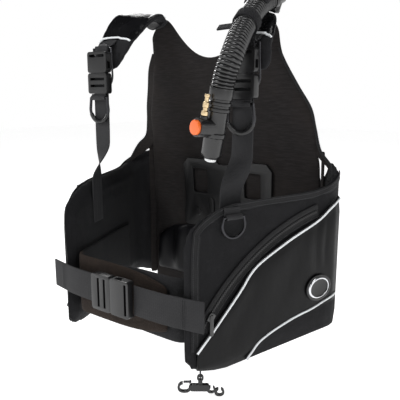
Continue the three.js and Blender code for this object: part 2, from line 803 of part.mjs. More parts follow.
const buckleRear = WAIST_Y + WAIST_BUCKLE_THICKNESS / 2;
const beltY = buckleRear - 1.6 - GAP - WEBBING_THICKNESS / 2;
function waistBelt(places) {
  const line = places.map(([x, y]) => ({ at: vector(x, y, WAIST_Z), wide: vector(0, 0, 1) }));
  return strap(line, WAIST_WEBBING, WEBBING_THICKNESS);
}
const beltEnd = [
  [126, -193.2],
  [141, -190.3],
  [158, -187.5],
  [171, -185],
];
add("left_belt", waistBelt([[41.5, beltY], [96, beltY], ...beltEnd]), WEB);
const mirrorX = ([x, y]) => [-x, y];
add("right_belt", waistBelt([[12, beltY], [100, beltY], ...beltEnd].map(mirrorX)), WEB);

// ---------------------------------------------------------------- side-release buckles
// Local frame: x across the webbing, -y outward, the male half is pulled toward -z.
function buckleFemale(webbing, thickness, length) {
  const half = webbing / 2 + 6;
  const t = thickness / 2;
  const shell = plate(rounded(-half, half, 0, length, 5), -t, t);
  const mouth = box(-half + 4, half - 4, -t + 2.4, t - 2.4, -5, length * 0.66);
  const windows = box(-half - 5, half + 5, -t + 2.4, t - 2.4, length * 0.2, length * 0.52);
  const slot = plate(rounded(-webbing / 2 - 1, webbing / 2 + 1, length - 10, length - 5, 1.5), -t - 5, t + 5);
  const thin = box(-webbing / 2 - 1, webbing / 2 + 1, t - 4, t + 5, length - 10, length + 5);
  return cut(shell, mouth, windows, slot, thin);
}

function buckleMale(webbing, thickness, length, reach) {
  const half = webbing / 2 + 6;
  const t = thickness / 2;
  const shell = plate(rounded(-half, half, -length, -0.5, 5), -t, t);
  const arms = [-1, 1].map((side) => {
    const outerEdge = half - 4.6;
    const edges = [side * (outerEdge - 7), side * outerEdge].sort((a, b) => a - b);
    return box(edges[0], edges[1], -t + 3, t - 3, -4, reach);
  });
  const tongue = plate(rounded(-5, 5, -6, reach + 2, 3), -t + 3.2, t - 3.2);
  const tunnelFloor = t - 1.6 - WEBBING_THICKNESS - 2 * GAP;
  const tunnel = box(-webbing / 2 - 0.8, webbing / 2 + 0.8, tunnelFloor, t - 1.6, -length - 5, reach + 5);
  const slots = [0.3, 0.62].map((share) => {
    const middle = -length * share;
    return box(-webbing / 2, webbing / 2, -t - 5, t - 3, middle - 2.4, middle + 2.4);
  });
  return cut(join(shell, ...arms, tongue), tunnel, ...slots);
}

const waistFemaleLength = 42;
const waistMaleLength = 44;
const waistReach = 25;
const waistMouthX = -3;
function onWaist(geometry) {
  return geometry.rotateY(Math.PI / 2).translate(waistMouthX, WAIST_Y, WAIST_Z);
}
const waistFemale = buckleFemale(WAIST_WEBBING, WAIST_BUCKLE_THICKNESS, waistFemaleLength);
const waistMale = buckleMale(WAIST_WEBBING, WAIST_BUCKLE_THICKNESS, waistMaleLength, waistReach);
add("waist_buckle_female", onWaist(waistFemale), PLASTIC);
add("waist_buckle_male", onWaist(waistMale), PLASTIC);

// ---------------------------------------------------------------- shoulders
// Stations down the pad: place on its outer face, width direction, half width and thickness share.
const padStations = [
  [120, 49.9, 561, 0.9, 0, -0.43, 0.56, 1],
  [120, 43, 561, 0.9, -0.02, -0.42, 0.64, 1],
  [124, 29, 566, 0.94, -0.06, -0.32, 0.8, 1],
  [130, 12, 563, 0.96, -0.1, -0.22, 0.92, 1],
  [137, -6, 552, 0.97, -0.12, -0.18, 0.98, 1],
  [143, -23, 537, 0.98, -0.14, -0.14, 1, 1],
  [149, -44, 514, 0.98, -0.14, -0.12, 1, 1],
  [154, -53, 494, 0.98, -0.12, -0.1, 0.96, 1],
  [158, -57, 478, 0.98, -0.1, -0.08, 0.86, 1],
  [161, -58, 465, 0.98, -0.08, -0.06, 0.62, 0.7],
];
const riseAt = (hand, z) => (hand > 0 ? 0 : RIGHT_SHOULDER_RISE * z);
const padRise = [0, 0, 0.5, 0.9, 1, 1, 1, 1, 1, 1];
const padPlace = padStations.map(([x, y, z]) => vector(x, y, z));
const padWide = padStations.map(([, , , x, y, z]) => vector(x, y, z).normalize());
const padOut = padPlace.map((place, i) => {
  const before = padPlace[Math.max(i - 1, 0)];
  const after = padPlace[Math.min(i + 1, padPlace.length - 1)];
  return after.clone().sub(before).cross(padWide[i]).normalize();
});
function shoulderPad(hand) {
  const across = [-1, -0.86, -0.4, 0.4, 0.86, 1];
  const depth = [0.45, 0.85, 1, 1, 0.85, 0.45];
  const outer = [];
  const inner = [];
  padStations.forEach((station, i) => {
    const half = (PAD_WIDTH / 2) * station[6];
    outer.push([]);
    inner.push([]);
    across.forEach((share, k) => {
      const middle = padPlace[i].clone().addScaledVector(padOut[i], -PAD_THICKNESS / 2);
      middle.addScaledVector(padWide[i], share * half);
      const rise = (PAD_THICKNESS / 2) * depth[k] * station[7];
      const high = middle.clone().addScaledVector(padOut[i], rise);
      const low = middle.clone().addScaledVector(padOut[i], -rise);
      high.x *= hand;
      low.x *= hand;
      high.z += riseAt(hand, padRise[i]);
      low.z += riseAt(hand, padRise[i]);
      outer[i].push(high);
      inner[i].push(low);
    });
  });
  return slab(outer, inner);
}
addBoth("shoulder_pad", shoulderPad, GLOSSY);

const shoulderFemaleLength = 38;
const shoulderMaleLength = 38;
const shoulderReach = 22;
const buckleBackY = SHOULDER_BUCKLE_Y + SHOULDER_BUCKLE_THICKNESS / 2;
function onShoulder(geometry, hand) {
  return geometry.translate(hand * SHOULDER_X, SHOULDER_BUCKLE_Y, SHOULDER_BUCKLE_Z + riseAt(hand, 1));
}
addBoth(
  "shoulder_buckle_female",
  (hand) => onShoulder(buckleFemale(SHOULDER_WEBBING, SHOULDER_BUCKLE_THICKNESS, shoulderFemaleLength), hand),
  PLASTIC,
);
addBoth(
  "shoulder_buckle_male",
  (hand) =>
    onShoulder(buckleMale(SHOULDER_WEBBING, SHOULDER_BUCKLE_THICKNESS, shoulderMaleLength, shoulderReach), hand),
  PLASTIC,
);

// Tail of the shoulder webbing with its pull ring.
const tailTop = -shoulderMaleLength - GAP;
const pullRingZ = tailTop - 7;
const tailY = -3.2;
function shoulderTail(hand) {
  const wide = PULL_RING_WIDTH - 6 * PULL_RING_WIRE;
  const strip = box(-wide / 2, wide / 2, tailY - 1.2, tailY + 1.2, pullRingZ + PULL_RING_WIRE, tailTop);
  const tube = cylinder("x", PULL_RING_WIRE + GAP + 1.5, -wide / 2, wide / 2, tailY, pullRingZ, 16);
  const hole = cylinder("x", PULL_RING_WIRE + GAP, -wide, wide, tailY, pullRingZ, 16);
  return onShoulder(cut(join(strip, tube), hole), hand);
}
addBoth("shoulder_tail", shoulderTail, WEB);
function pullRing(hand) {
  const ring = dRing(PULL_RING_WIDTH, PULL_RING_HEIGHT, PULL_RING_WIRE);
  return onShoulder(ring.translate(0, tailY, pullRingZ), hand);
}
addBoth("pull_ring", pullRing, STEEL);

// Long webbing from the buckle to the inside of the lobe, with a quarter twist.
const strapY = buckleBackY - 1.6 - GAP - WEBBING_THICKNESS / 2;
const strapEndS = 83;
const strapEndOffset = lobeFace - LOBE_THICKNESS - 0.5 - WEBBING_THICKNESS / 2;
function shoulderStrap(hand) {
  const foot = onSide(strapEndS, 0, strapEndOffset, hand);
  const start = vector(hand * SHOULDER_X, strapY, 0);
  const straightEnd = SHOULDER_BUCKLE_Z + pullRingZ - PULL_RING_HEIGHT - SHOULDER_STROKE + 6;
  const top = SHOULDER_BUCKLE_Z - 4 + riseAt(hand, 1);
  const heights = [top, straightEnd, ...spread(straightEnd - 9, 276, 12), 262, 190];
  const line = heights.map((z) => {
    const share = Math.min(1, Math.max(0, (straightEnd - z) / (straightEnd - 270)));
    const at = start.clone().lerp(foot, share * share * (3 - 2 * share));
    at.z = z;
    const turn = share * share * (3 - 2 * share) * sideHeading;
    return { at, wide: vector(Math.cos(turn) * hand, Math.sin(turn), 0) };
  });
  return strap(line, SHOULDER_WEBBING, WEBBING_THICKNESS);
}
addBoth("shoulder_strap", shoulderStrap, WEB);

// Webbing tab that holds the upper buckle half and the long ring behind it.
const edgeRingZ = SHOULDER_BUCKLE_Z + shoulderFemaleLength + 7;
const edgeRingY = buckleBackY + GAP + EDGE_RING_WIRE + 0.4;
function shoulderTab(hand) {
  const wide = 34;
  const top = SHOULDER_BUCKLE_Z + shoulderFemaleLength + GAP;
  const strip = loft(
    [-wide / 2, wide / 2].map((x) => {
      const spot = padPlace[6].clone().addScaledVector(padWide[6], (SHOULDER_X + x - padPlace[6].x) / padWide[6].x);
      const up = vector(0, padPlace[5].y - padPlace[6].y, padPlace[5].z - padPlace[6].z).normalize();
      const out = vector(0, -up.z, up.y);
      const onPad = (along, above) => {
        const place = spot.clone().addScaledVector(up, along).addScaledVector(out, above);
        return vector(x, place.y, place.z);
      };
      return [
        vector(x, edgeRingY - 5.4, top),
        vector(x, edgeRingY - 1, top),
        vector(x, edgeRingY + 2.2, edgeRingZ + 2.4),
        onPad(0, 0.7),
        onPad(9, 0.7),
        onPad(9, 2.6),
        onPad(1, 2.9),
        vector(x, edgeRingY - 2.2, edgeRingZ + 3.6),
      ];
    }),
  );
  const tube = cylinder("x", EDGE_RING_WIRE + GAP + 1.6, 0.6 - wide / 2, wide / 2 - 0.6, edgeRingY, edgeRingZ, 14);
  const hole = cylinder("x", EDGE_RING_WIRE + GAP, -wide, wide, edgeRingY, edgeRingZ, 14);
  return cut(join(strip, tube), hole).translate(hand * SHOULDER_X, 0, riseAt(hand, 1));
}
addBoth("shoulder_tab", shoulderTab, WEB);
addBoth(
  "edge_ring",
  (hand) => dRing(54, 78, EDGE_RING_WIRE).translate(hand * SHOULDER_X, edgeRingY, edgeRingZ + riseAt(hand, 1)),
  STEEL,
);

// ---------------------------------------------------------------- hose and inflator
const hosePlaces = [
  [160, -3, 575.5],
  [155.5, -16, 570],
  [156, -31, 560.5],
  [158, -47, 548.5],
  [159, -60, 538],
  [160, -72, 528],
  [162, -84, 517.5],
];
const lowerPlaces = [
  [162, -84, 517.5],
  [166.5, -104, 502],
  [168, -115, 484],
  [165, -119.5, 469],
  [158.3, -120, 462.1 - 2.3],
  [154, -120, 438],
];
const toPoints = (places) => places.map(([x, y, z]) => vector(x, y, z));
const hoseCurve = new THREE.CatmullRomCurve3([...toPoints(hosePlaces), ...toPoints(lowerPlaces).slice(1)]);
const hoseLength = hoseCurve.getLength();
const keeperShare = (() => {
  const target = vector(...hosePlaces[hosePlaces.length - 1]);
  let best = 0;
  for (let i = 0; i <= 400; i += 1) {
    if (hoseCurve.getPointAt(i / 400).distanceTo(target) < hoseCurve.getPointAt(best).distanceTo(target)) {
      best = i / 400;
    }
  }
  return best;
})();
function hosePiece(from, to, ribs) {
  const places = spread(from, to, ribs * 2 + 1);
  const radius = places.map((_, i) => (i % 2 === 0 ? HOSE_RADIUS - 1.6 : HOSE_RADIUS));
  const directions = places.map((share) => hoseCurve.getTangentAt(share));
  return rod(places.map((share) => hoseCurve.getPointAt(share)), radius, 16, false, directions);
}
const halfJoint = 0.3 / hoseLength;
add("hose_upper", hosePiece(0, keeperShare - halfJoint, 9), RUBBER);
add("hose_lower", hosePiece(keeperShare + halfJoint, 1, 9), RUBBER);

// Keeper band round the hose, with its flap toward the neck.
function hoseKeeper() {
  const inside = HOSE_RADIUS + GAP;
  const share = (distance) => keeperShare - (distance + 16) / hoseLength;
  const line = [share(16), share(8), share(0)].map((place) => hoseCurve.getPointAt(place));
  const ends = [line[0].clone().lerp(line[2], -0.5), line[0], line[1], line[2], line[2].clone().lerp(line[0], -0.5)];
  const forward = line[2].clone().sub(line[0]).normalize();
  const across = vector(-1, 0, 0).addScaledVector(forward, forward.x).normalize();
  const out = forward.clone().cross(across).normalize();
  const flap = box(inside + 0.5, inside + 34, 1.5, 4.1, -6, 6);
  const matrix = new THREE.Matrix4().makeBasis(across, out, forward.clone()).setPosition(line[1]);
  const ring = rod(line, inside + 2.6, 20);
  return cut(join(ring, flap.applyMatrix4(matrix)), rod(ends, inside, 20));
}
add("hose_keeper", hoseKeeper(), CLOTH);

// Elbow that joins the hose to the vest at the shoulder.
function shoulderElbow() {
  const top = vector(...hosePlaces[0]);
  const forward = hoseCurve.getTangentAt(0);
  const barrelStart = top.clone().addScaledVector(forward, -24);
  const barrelEnd = top.clone().addScaledVector(forward, -GAP);
  const barrel = rod([barrelStart, barrelEnd], 15, 18);
  const collar = rod([barrelEnd.clone().addScaledVector(forward, -7), barrelEnd], HOSE_RADIUS + 1.2, 18);
  const footPlace = padPlace[3].clone().addScaledVector(padWide[3], 30);
  const footOut = padOut[3];
  const seat = footPlace.clone().addScaledVector(footOut, GAP + 0.3);
  const riserTop = barrelStart.clone().addScaledVector(forward, 5);
  const foot = rod([seat, seat.clone().addScaledVector(footOut, 4)], 12, 20);
  const riser = rod([seat.clone().addScaledVector(footOut, 1), riserTop], 11, 18);
  const past = rod([barrelEnd, top.clone().addScaledVector(forward, 26)], HOSE_RADIUS + 6, 18);
  return cut(join(barrel, collar, foot, riser), past);
}
add("shoulder_elbow", shoulderElbow(), PLASTIC);

// Cloth cover over the elbow and the start of the hose.
function elbowCover() {
  const outer = [];
  const inner = [];
  spread(-26, 40, 7).forEach((distance, row) => {
    const share = Math.max(distance, 0) / hoseLength;
    const at = hoseCurve.getPointAt(share);
    const forward = hoseCurve.getTangentAt(share);
    if (distance < 0) {
      at.addScaledVector(forward, distance);
    }
    const across = vector(1, 0, 0).addScaledVector(forward, -forward.x).normalize();
    const up = forward.clone().cross(across).normalize();
    outer.push([]);
    inner.push([]);
    spread(-64, 84, 8).forEach((turn) => {
      const direction = up.clone().multiplyScalar(Math.cos(radians(turn)));
      direction.addScaledVector(across, Math.sin(radians(turn)));
      outer[row].push(at.clone().addScaledVector(direction, HOSE_RADIUS + 4.4));
      inner[row].push(at.clone().addScaledVector(direction, HOSE_RADIUS + 2));
    });
  });
  return slab(outer, inner);
}
add("elbow_cover", elbowCover(), CLOTH);

// Inflator: local frame has z down the body from the hose end, x the way the inflate button faces.
const inflatorTop = vector(...lowerPlaces[lowerPlaces.length - 1]);
const inflatorDown = hoseCurve.getTangentAt(1);
const inflatorAcross = vector(0, 1, 0)
  .cross(inflatorDown)
  .normalize()
  .applyAxisAngle(inflatorDown, radians(INFLATE_BUTTON_TURN));
function onInflator(geometry) {
  const y = inflatorDown.clone().cross(inflatorAcross).normalize();
  const matrix = new THREE.Matrix4().makeBasis(inflatorAcross, y, inflatorDown).setPosition(inflatorTop);
  return geometry.applyMatrix4(matrix);
}
const inflateZ = 60;
const inflateFace = 40;
const inflateRoom = 10;
function along3(profile) {
  const line = profile.map(([, place]) => vector(0, 0, place));
  return rod(line, profile.map(([radius]) => radius), 20);
}
function inflatorBody() {
  const r = INFLATOR_RADIUS;
  const end = INFLATOR_LENGTH;
  const trunk = along3([
    [r + 2.5, GAP],
    [r + 2.5, 16],
    [r + 0.5, 17],
    [r + 0.5, 20],
    [r + 2.2, 21],
    [r + 2.2, 25],
    [r + 0.5, 26],
    [r + 0.5, 29],
    [r + 2.2, 30],
    [r + 2.2, 34],
    [r, 35.5],
    [r, 66],
    [r + 1.4, 67.5],
    [r + 1.4, 73],
    [r, 74.5],
    [r, end - 6],
    [r - 3, end],
  ]);
  const block = cylinder("x", INFLATE_BUTTON_RADIUS + 3, 0, inflateFace - 5, 0, inflateZ, 24);
  const neck = rod([vector(24, 0, inflateZ), vector(24, 0, inflateZ - 17)], 5.6, 16);
  const boreFrom = inflateFace - 5 - inflateRoom;
  const inflateBore = cylinder("x", INFLATE_BUTTON_RADIUS + GAP, boreFrom, inflateFace + 5, 0, inflateZ, 24);
  const deflateBore = rod([vector(0, 0, end - 10), vector(0, 0, end + 5)], DEFLATE_BUTTON_RADIUS + GAP, 24);
  return onInflator(cut(join(trunk, block, neck), inflateBore, deflateBore));
}
function inflateButton() {
  const from = inflateFace - 5 - inflateRoom + 4.5;
  return onInflator(cylinder("x", INFLATE_BUTTON_RADIUS, from, inflateFace, 0, inflateZ, 24));
}
function deflateButton() {
  const end = INFLATOR_LENGTH;
  return onInflator(
    along3([
      [DEFLATE_BUTTON_RADIUS, end - 4.5],
      [DEFLATE_BUTTON_RADIUS, end + 4],
      [DEFLATE_BUTTON_RADIUS - 2, end + 5.5],
    ]),
  );
}
function nipple() {
  const line = [
    [4.2, -17.4],
    [5.4, -18.4],
    [5.4, -24],
    [3.6, -25],
    [3.6, -29],
    [4.8, -30],
    [4.8, -37],
    [3.2, -38],
    [3.2, -44],
    [4.2, -45],
    [4.2, -49],
  ];
  return onInflator(
    rod(
      line.map(([, z]) => vector(24, 0, inflateZ + z)),
      line.map(([radius]) => radius),
      16,
    ),
  );
}
add("inflator_body", inflatorBody(), PLASTIC);
add("inflate_button", inflateButton(), ORANGE);
add("deflate_button", deflateButton(), WHITE);
add("inflator_nipple", nipple(), CHROME);

// ---------------------------------------------------------------- hose clip under the left lobe
// Local frame: x along the clip, -y outward, z up; origin at the eye.
const clipS = 20;
const clipWire = 1.3;
const clipLoopRadius = 7;
const clipAcross = vector(0.793, 0.609, 0);
const clipOutward = vector(0.609, -0.793, 0);
const clipEye = onSide(clipS, 0, lobeFace - 9, 1);
clipEye.z = along(lobeBottom, clipS) - 2 * clipLoopRadius - clipWire - GAP;
function onClip(geometry) {
  return placed(geometry, clipEye, clipAcross, clipOutward);
}
function clipLoop() {
  const line = spread(0, 360, 19)
    .slice(0, 18)
    .map((turn) =>
      vector(0, clipLoopRadius * Math.sin(radians(turn)), clipLoopRadius - clipLoopRadius * Math.cos(radians(turn))),
    );
  return onClip(rod(line, clipWire, 8, true));
}
const hookX = -24;
const hookZ = -16;
const gateHinge = [hookX + 9, hookZ + 7.5];
function clipBody() {
  const eye = cylinder("y", 5.4, -2.5, 2.5, 0, 0, 18);
  const neck = box(-3.4, 3.4, -2.5, 2.5, -14, -3.6);
  const bar = plate(rounded(-16, 14, -22, -11, 3), -3.5, 3.5);
  const hook = plate(rounded(hookX - 12, hookX + 10, hookZ - 9, hookZ + 9, 8.8, 5), -2.5, 2.5);
  const bite = plate(rounded(hookX - 8.4, hookX + 6, hookZ - 5.4, hookZ + 5.4, 5.2, 5), -8, 8);
  const opening = box(hookX - 3.4, hookX + 7, -8, 8, hookZ + 1.5, hookZ + 14);
  const tail = plate(rounded(10, 24, -26, -14, 5.9, 4), -2.5, 2.5);
  const tailBite = cylinder("y", 3.4, -8, 8, 18, -20, 14);
  const tailOpen = box(16.2, 19.8, -8, 8, -20, -8);
  const second = plate(rounded(22, 38, -31, -17, 6.8, 4), -2.5, 2.5);
  const secondBite = cylinder("y", 4.2, -8, 8, 30.5, -24, 14);
  const secondOpen = box(28.6, 32.4, -8, 8, -24, -8);
  const hole = cylinder("y", 2.6, -9, 9, 0, 0, 16);
  return onClip(
    cut(join(eye, neck, bar, hook, tail, second), bite, opening, tailBite, tailOpen, secondBite, secondOpen, hole),
  );
}
function clipGate() {
  const [x, z] = gateHinge;
  const pivot = cylinder("y", 1.7, -2.2, 2.2, x - 0.6, z + 1.6, 12);
  const bar = box(x - 11.4, x - 0.6, -1.6, 1.6, z + 0.2, z + 2.8);
  return onClip(join(pivot, bar));
}
add("clip_loop", clipLoop(), CLOTH);
add("clip_body", clipBody(), PLASTIC);
add("clip_gate", clipGate(), STEEL);

// ---------------------------------------------------------------- origin on the tank pad's rear face
group.children.forEach((mesh) => mesh.geometry.translate(0, -tankPadRear, -TANK_PAD_Z));

export default group;
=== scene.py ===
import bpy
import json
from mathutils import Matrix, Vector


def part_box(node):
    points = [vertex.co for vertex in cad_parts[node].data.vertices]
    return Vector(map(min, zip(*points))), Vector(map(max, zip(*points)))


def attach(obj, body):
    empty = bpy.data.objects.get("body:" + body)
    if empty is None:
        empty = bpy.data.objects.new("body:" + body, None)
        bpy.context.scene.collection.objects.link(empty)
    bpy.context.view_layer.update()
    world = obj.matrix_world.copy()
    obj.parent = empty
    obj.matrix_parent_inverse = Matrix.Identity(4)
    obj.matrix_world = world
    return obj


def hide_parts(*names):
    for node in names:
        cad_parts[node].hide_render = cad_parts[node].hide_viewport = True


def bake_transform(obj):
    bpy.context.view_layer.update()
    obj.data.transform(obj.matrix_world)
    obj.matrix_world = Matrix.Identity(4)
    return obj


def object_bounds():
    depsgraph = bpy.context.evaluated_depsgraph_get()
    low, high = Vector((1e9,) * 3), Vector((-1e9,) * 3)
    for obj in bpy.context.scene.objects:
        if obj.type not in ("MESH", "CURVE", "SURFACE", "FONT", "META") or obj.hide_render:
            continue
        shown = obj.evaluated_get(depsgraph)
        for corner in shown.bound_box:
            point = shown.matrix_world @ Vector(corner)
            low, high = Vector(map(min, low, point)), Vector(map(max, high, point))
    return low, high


bl_info = {
    "name": "Diving vest looks",
    "version": (1, 0, 0),
    "blender": (4, 5, 0),
    "location": "3D View > Sidebar > Vest",
    "description": "Cloth, trim, fittings and finishes of a jacket-style diving buoyancy vest",
    "category": "Object",
}

import json
import math

import bpy
import numpy as np
from mathutils import Matrix, Vector, noise

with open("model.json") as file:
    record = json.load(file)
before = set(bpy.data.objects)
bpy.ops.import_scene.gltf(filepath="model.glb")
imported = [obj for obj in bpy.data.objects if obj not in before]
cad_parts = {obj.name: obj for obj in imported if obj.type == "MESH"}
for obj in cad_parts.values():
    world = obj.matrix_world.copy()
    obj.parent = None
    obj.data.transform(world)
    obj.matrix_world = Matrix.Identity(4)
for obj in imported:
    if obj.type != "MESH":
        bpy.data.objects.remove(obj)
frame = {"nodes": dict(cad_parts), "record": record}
CAD_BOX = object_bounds()

HANDS = (("left", 1), ("right", -1))
PAD_REAR = 163.0  # the frame's origin lies this far behind the vest's middle, in mm
PAD_HEIGHT = 200.0  # and this far above its bottom hem, in mm

# The side of the vest, in mm: a straight run from the front edge, then a round rear corner.
SIDE_START = (150.0, -183.0)
SIDE_END = (250.0, 60.0)
REAR_RADIUS = 65.0
LOBE_OFFSET = -6.0
SIDE_LENGTH = math.dist(SIDE_START, SIDE_END)
HEADING = ((SIDE_END[0] - SIDE_START[0]) / SIDE_LENGTH, (SIDE_END[1] - SIDE_START[1]) / SIDE_LENGTH)

# Lines on the side, as (distance from the front edge, height), in mm.
LOBE_RIM = [(48, 260), (100, 268), (220, 271), (263, 278), (310, 294), (326, 299)]
LOBE_FRONT = [(5.5, 44), (5.5, 90), (5.5, 140), (5.5, 190), (8, 218), (14, 232)]
POCKET_TOP = [
    (6, 44), (38, 78), (83, 129), (103, 155), (125, 172), (180, 199), (237, 223), (267, 243), (291, 255.5),
]
LOWER_PIPING = [
    (97, 10), (106, 19), (120, 33), (139, 43), (164, 52), (195, 61), (233, 69), (262, 78), (290, 84),
]
POCKET_SHARP_FOLDS = (
    [(247, 228), (238, 190), (240, 150), (252, 112)],
    [(262, 222), (258, 170), (266, 120)],
)
POCKET_SOFT_FOLDS = (
    [(222, 205), (190, 160), (170, 110)],
    [(120, 150), (95, 100), (70, 60)],
)
ZIP_ARC = ((16, 75), (105, 174), (240, 238))

# The middle of the hose, from the shoulder elbow down to the inflator, in mm.
HOSE_LINE = [
    (160, -3, 575.5), (155.5, -16, 570), (156, -31, 560.5), (158, -47, 548.5), (159, -60, 538),
    (160, -72, 528), (162, -84, 517.5), (166.5, -104, 502), (168, -115, 484), (165, -119.5, 469),
    (158.3, -120, 459.8), (154, -120, 438),
]
HOSE_JOINT = 6  # the place on that line where the hose bends; the tube is made in one piece, with no joint there
HOSE_VALLEY = 0.0153  # radius between the ribs, in metres
HOSE_RIB = 0.0021  # how far a rib stands above that, in metres
HOSE_SMOOTHING = 2500  # passes that even out the line's curve

# Edges of the armhole, each as places on the lobe's side (s, z, offset) and on the back panel (x, y, z).
ARMHOLE_OUTER = (
    ((282, 285, -18), (300, 302, -18), (316, 319, -20)),
    ((216, 112, 338), (206, 107, 370), (199, 100, 404), (184, 88, 440), (165, 71, 478), (146, 62, 507)),
)
ARMHOLE_INNER = (
    ((282, 281, -20), (305, 290, -23), (330, 300, -25)),
    ((194, 115, 325), (188, 105, 370), (182, 97, 404), (162, 83, 440), (146, 69, 478), (139, 62, 507)),
)

# How the cloth behaves while it settles.
CLOTH_MASS = 0.25
CLOTH_STRETCH = 12
CLOTH_BEND = 0.35
SETTLING_FRAMES = 18

WEBBING_EDGE = 0.0005  # rounding of a belt's edge, in metres
HEM = 6.5  # the lobe's binding runs this far below its edge, in mm
RIM_STEPS = 72  # places round the badge's rim

# The studio, in metres.
FLOOR_GAP = 0.004
FLOOR_GLOW = 0.86
SKY_FADE = (0.17, 0.32, 1.0, 0.05)  # from and to this share of the sky's height, with its strength there
LAMPS = (
    ("key", (-0.9, -2.0, 1.7), 0.8, 26),
    ("fill", (2.3, -0.9, 1.0), 0.9, 11),
    ("top", (0.3, -0.2, 2.2), 0.6, 14),
    ("rim", (-1.6, 0.9, 1.5), 0.5, 12),
)
LAMP_AIM = (0, -0.15, 0.1)
CAMERA_SPOT = (606.3, -762.2, 428.3)  # in mm, like every place()
CAMERA_BACK = (0.597, -0.778, 0.196)
CAMERA_RIGHT = (0.793, 0.609, 0)
CAMERA_LENS = 47.7


# ---------------------------------------------------------------- settings

class VestCloth(bpy.types.PropertyGroup):
    voxel: bpy.props.FloatProperty(
        name="Cloth grid", description="Size of the cloth's faces before it settles", default=0.005,
        unit="LENGTH")
    inset: bpy.props.FloatProperty(
        name="Inset", description="How far the cloth starts inside its pattern", default=0.0012,
        unit="LENGTH")
    cap: bpy.props.FloatProperty(
        name="Most movement", description="The furthest that a point may move", default=0.006, unit="LENGTH")
    spare: bpy.props.FloatProperty(
        name="Spare cloth", description="Share of spare cloth, which makes the folds", default=0.035)
    pressure: bpy.props.FloatProperty(name="Pressure", description="Pressure of the filling", default=1.2)


class VestTrim(bpy.types.PropertyGroup):
    piping: bpy.props.FloatProperty(
        name="Piping", description="Radius of the pale piping", default=0.0017, unit="LENGTH")
    binding: bpy.props.FloatProperty(
        name="Binding", description="Width of the edge binding", default=0.013, unit="LENGTH")
    stitch: bpy.props.FloatProperty(
        name="Stitch", description="Length of one stitch", default=0.0032, unit="LENGTH")
    thread: bpy.props.FloatProperty(
        name="Thread", description="Radius of the thread", default=0.00042, unit="LENGTH")
    edge: bpy.props.FloatProperty(
        name="Moulded edge", description="Rounding of moulded edges", default=0.0007, unit="LENGTH")
    hose_pitch: bpy.props.FloatProperty(
        name="Hose pitch", description="Distance from one hose rib to the next", default=0.0052,
        unit="LENGTH")


def colour(name, text, default):
    return bpy.props.FloatVectorProperty(
        name=name, description=text, subtype="COLOR", size=3, default=default)


class VestColours(bpy.types.PropertyGroup):
    cloth: colour("Cloth", "Heavy outer cloth", (0.0085, 0.0085, 0.0095))
    lining: colour("Lining", "Fine lining of the back", (0.0185, 0.0165, 0.0165))
    vinyl: colour("Coated cloth", "Glossy coated cloth", (0.0030, 0.0030, 0.0036))
    webbing: colour("Webbing", "Woven belts", (0.0190, 0.0190, 0.0205))
    cummerbund: colour("Cummerbund", "Wearer's right half of the cummerbund", (0.0190, 0.0130, 0.0100))
    piping: colour("Piping", "Pale piping", (0.86, 0.88, 0.90))
    plastic: colour("Plastic", "Moulded fittings", (0.0055, 0.0055, 0.0060))
    orange: colour("Inflate button", "Button that lets air in", (0.88, 0.155, 0.022))
    pale: colour("Deflate button", "Button that lets air out", (0.78, 0.79, 0.80))


SETTINGS = (("vest_cloth", VestCloth), ("vest_trim", VestTrim), ("vest_colours", VestColours))


def cloth():
    return bpy.context.scene.vest_cloth


def trim():
    return bpy.context.scene.vest_trim


def colours():
    return bpy.context.scene.vest_colours


# ---------------------------------------------------------------- places

def place(x, y, z):
    """A place given in mm from the vest's middle and its bottom hem."""
    return Vector((x, y - PAD_REAR, z - PAD_HEIGHT)) / 1000


def along(profile, x):
    """The height of a profile of straight stretches at x."""
    for (x0, y0), (x1, y1) in zip(profile, profile[1:]):
        if x <= x1:
            return y0 + (y1 - y0) * (x - x0) / (x1 - x0)
    return profile[-1][1]


def outward(s, hand):
    """The direction straight out of the side at distance s from the front edge."""
    turn = math.atan2(HEADING[1], HEADING[0]) + max(0.0, s - SIDE_LENGTH) / REAR_RADIUS
    return Vector((math.sin(turn) * hand, -math.cos(turn), 0))


def on_side(s, z, offset, hand):
    """A place on the vest's side: s mm from the front edge, z mm up, offset mm outward."""
    run = min(s, SIDE_LENGTH)
    x = SIDE_START[0] + HEADING[0] * run
    y = SIDE_START[1] + HEADING[1] * run
    out = outward(run, 1)
    if s > SIDE_LENGTH:
        centre = Vector((x, y, 0)) - out * REAR_RADIUS
        out = outward(s, 1)
        spot = centre + out * (REAR_RADIUS + offset)
    else:
        spot = Vector((x, y, 0)) + out * offset
    return place(spot.x * hand, spot.y, z)


def side_distance(point):
    """The distance s along the side, in mm, of a point in metres."""
    x = abs(point[0]) * 1000 - SIDE_START[0]
    y = point[1] * 1000 + PAD_REAR - SIDE_START[1]
    return x * HEADING[0] + y * HEADING[1]


def curve_through(points, steps):
    """A smooth line through the points, with so many steps between neighbours."""
    line = []
    for i in range(len(points) - 1):
        a, b, c, d = (points[min(max(k, 0), len(points) - 1)] for k in (i - 1, i, i + 1, i + 2))
        for step in range(steps):
            t = step / steps
            bend = (2 * a - 5 * b + 4 * c - d) * t**2 + (3 * b - a - 3 * c + d) * t**3
            line.append(0.5 * (2 * b + (c - a) * t + bend))
    return line + [points[-1].copy()]


def spaced(line, pitch):
    """Places along a line, a pitch apart."""
    places = []
    need = pitch / 2
    for a, b in zip(line, line[1:]):
        run = (b - a).length
        while need <= run:
            places.append((a.lerp(b, need / run), (b - a).normalized()))
            need += pitch
        need -= run
    return places


# ---------------------------------------------------------------- modelling

def focus(piece):
    bpy.ops.object.select_all(action="DESELECT")
    piece.select_set(True)
    bpy.context.view_layer.objects.active = piece


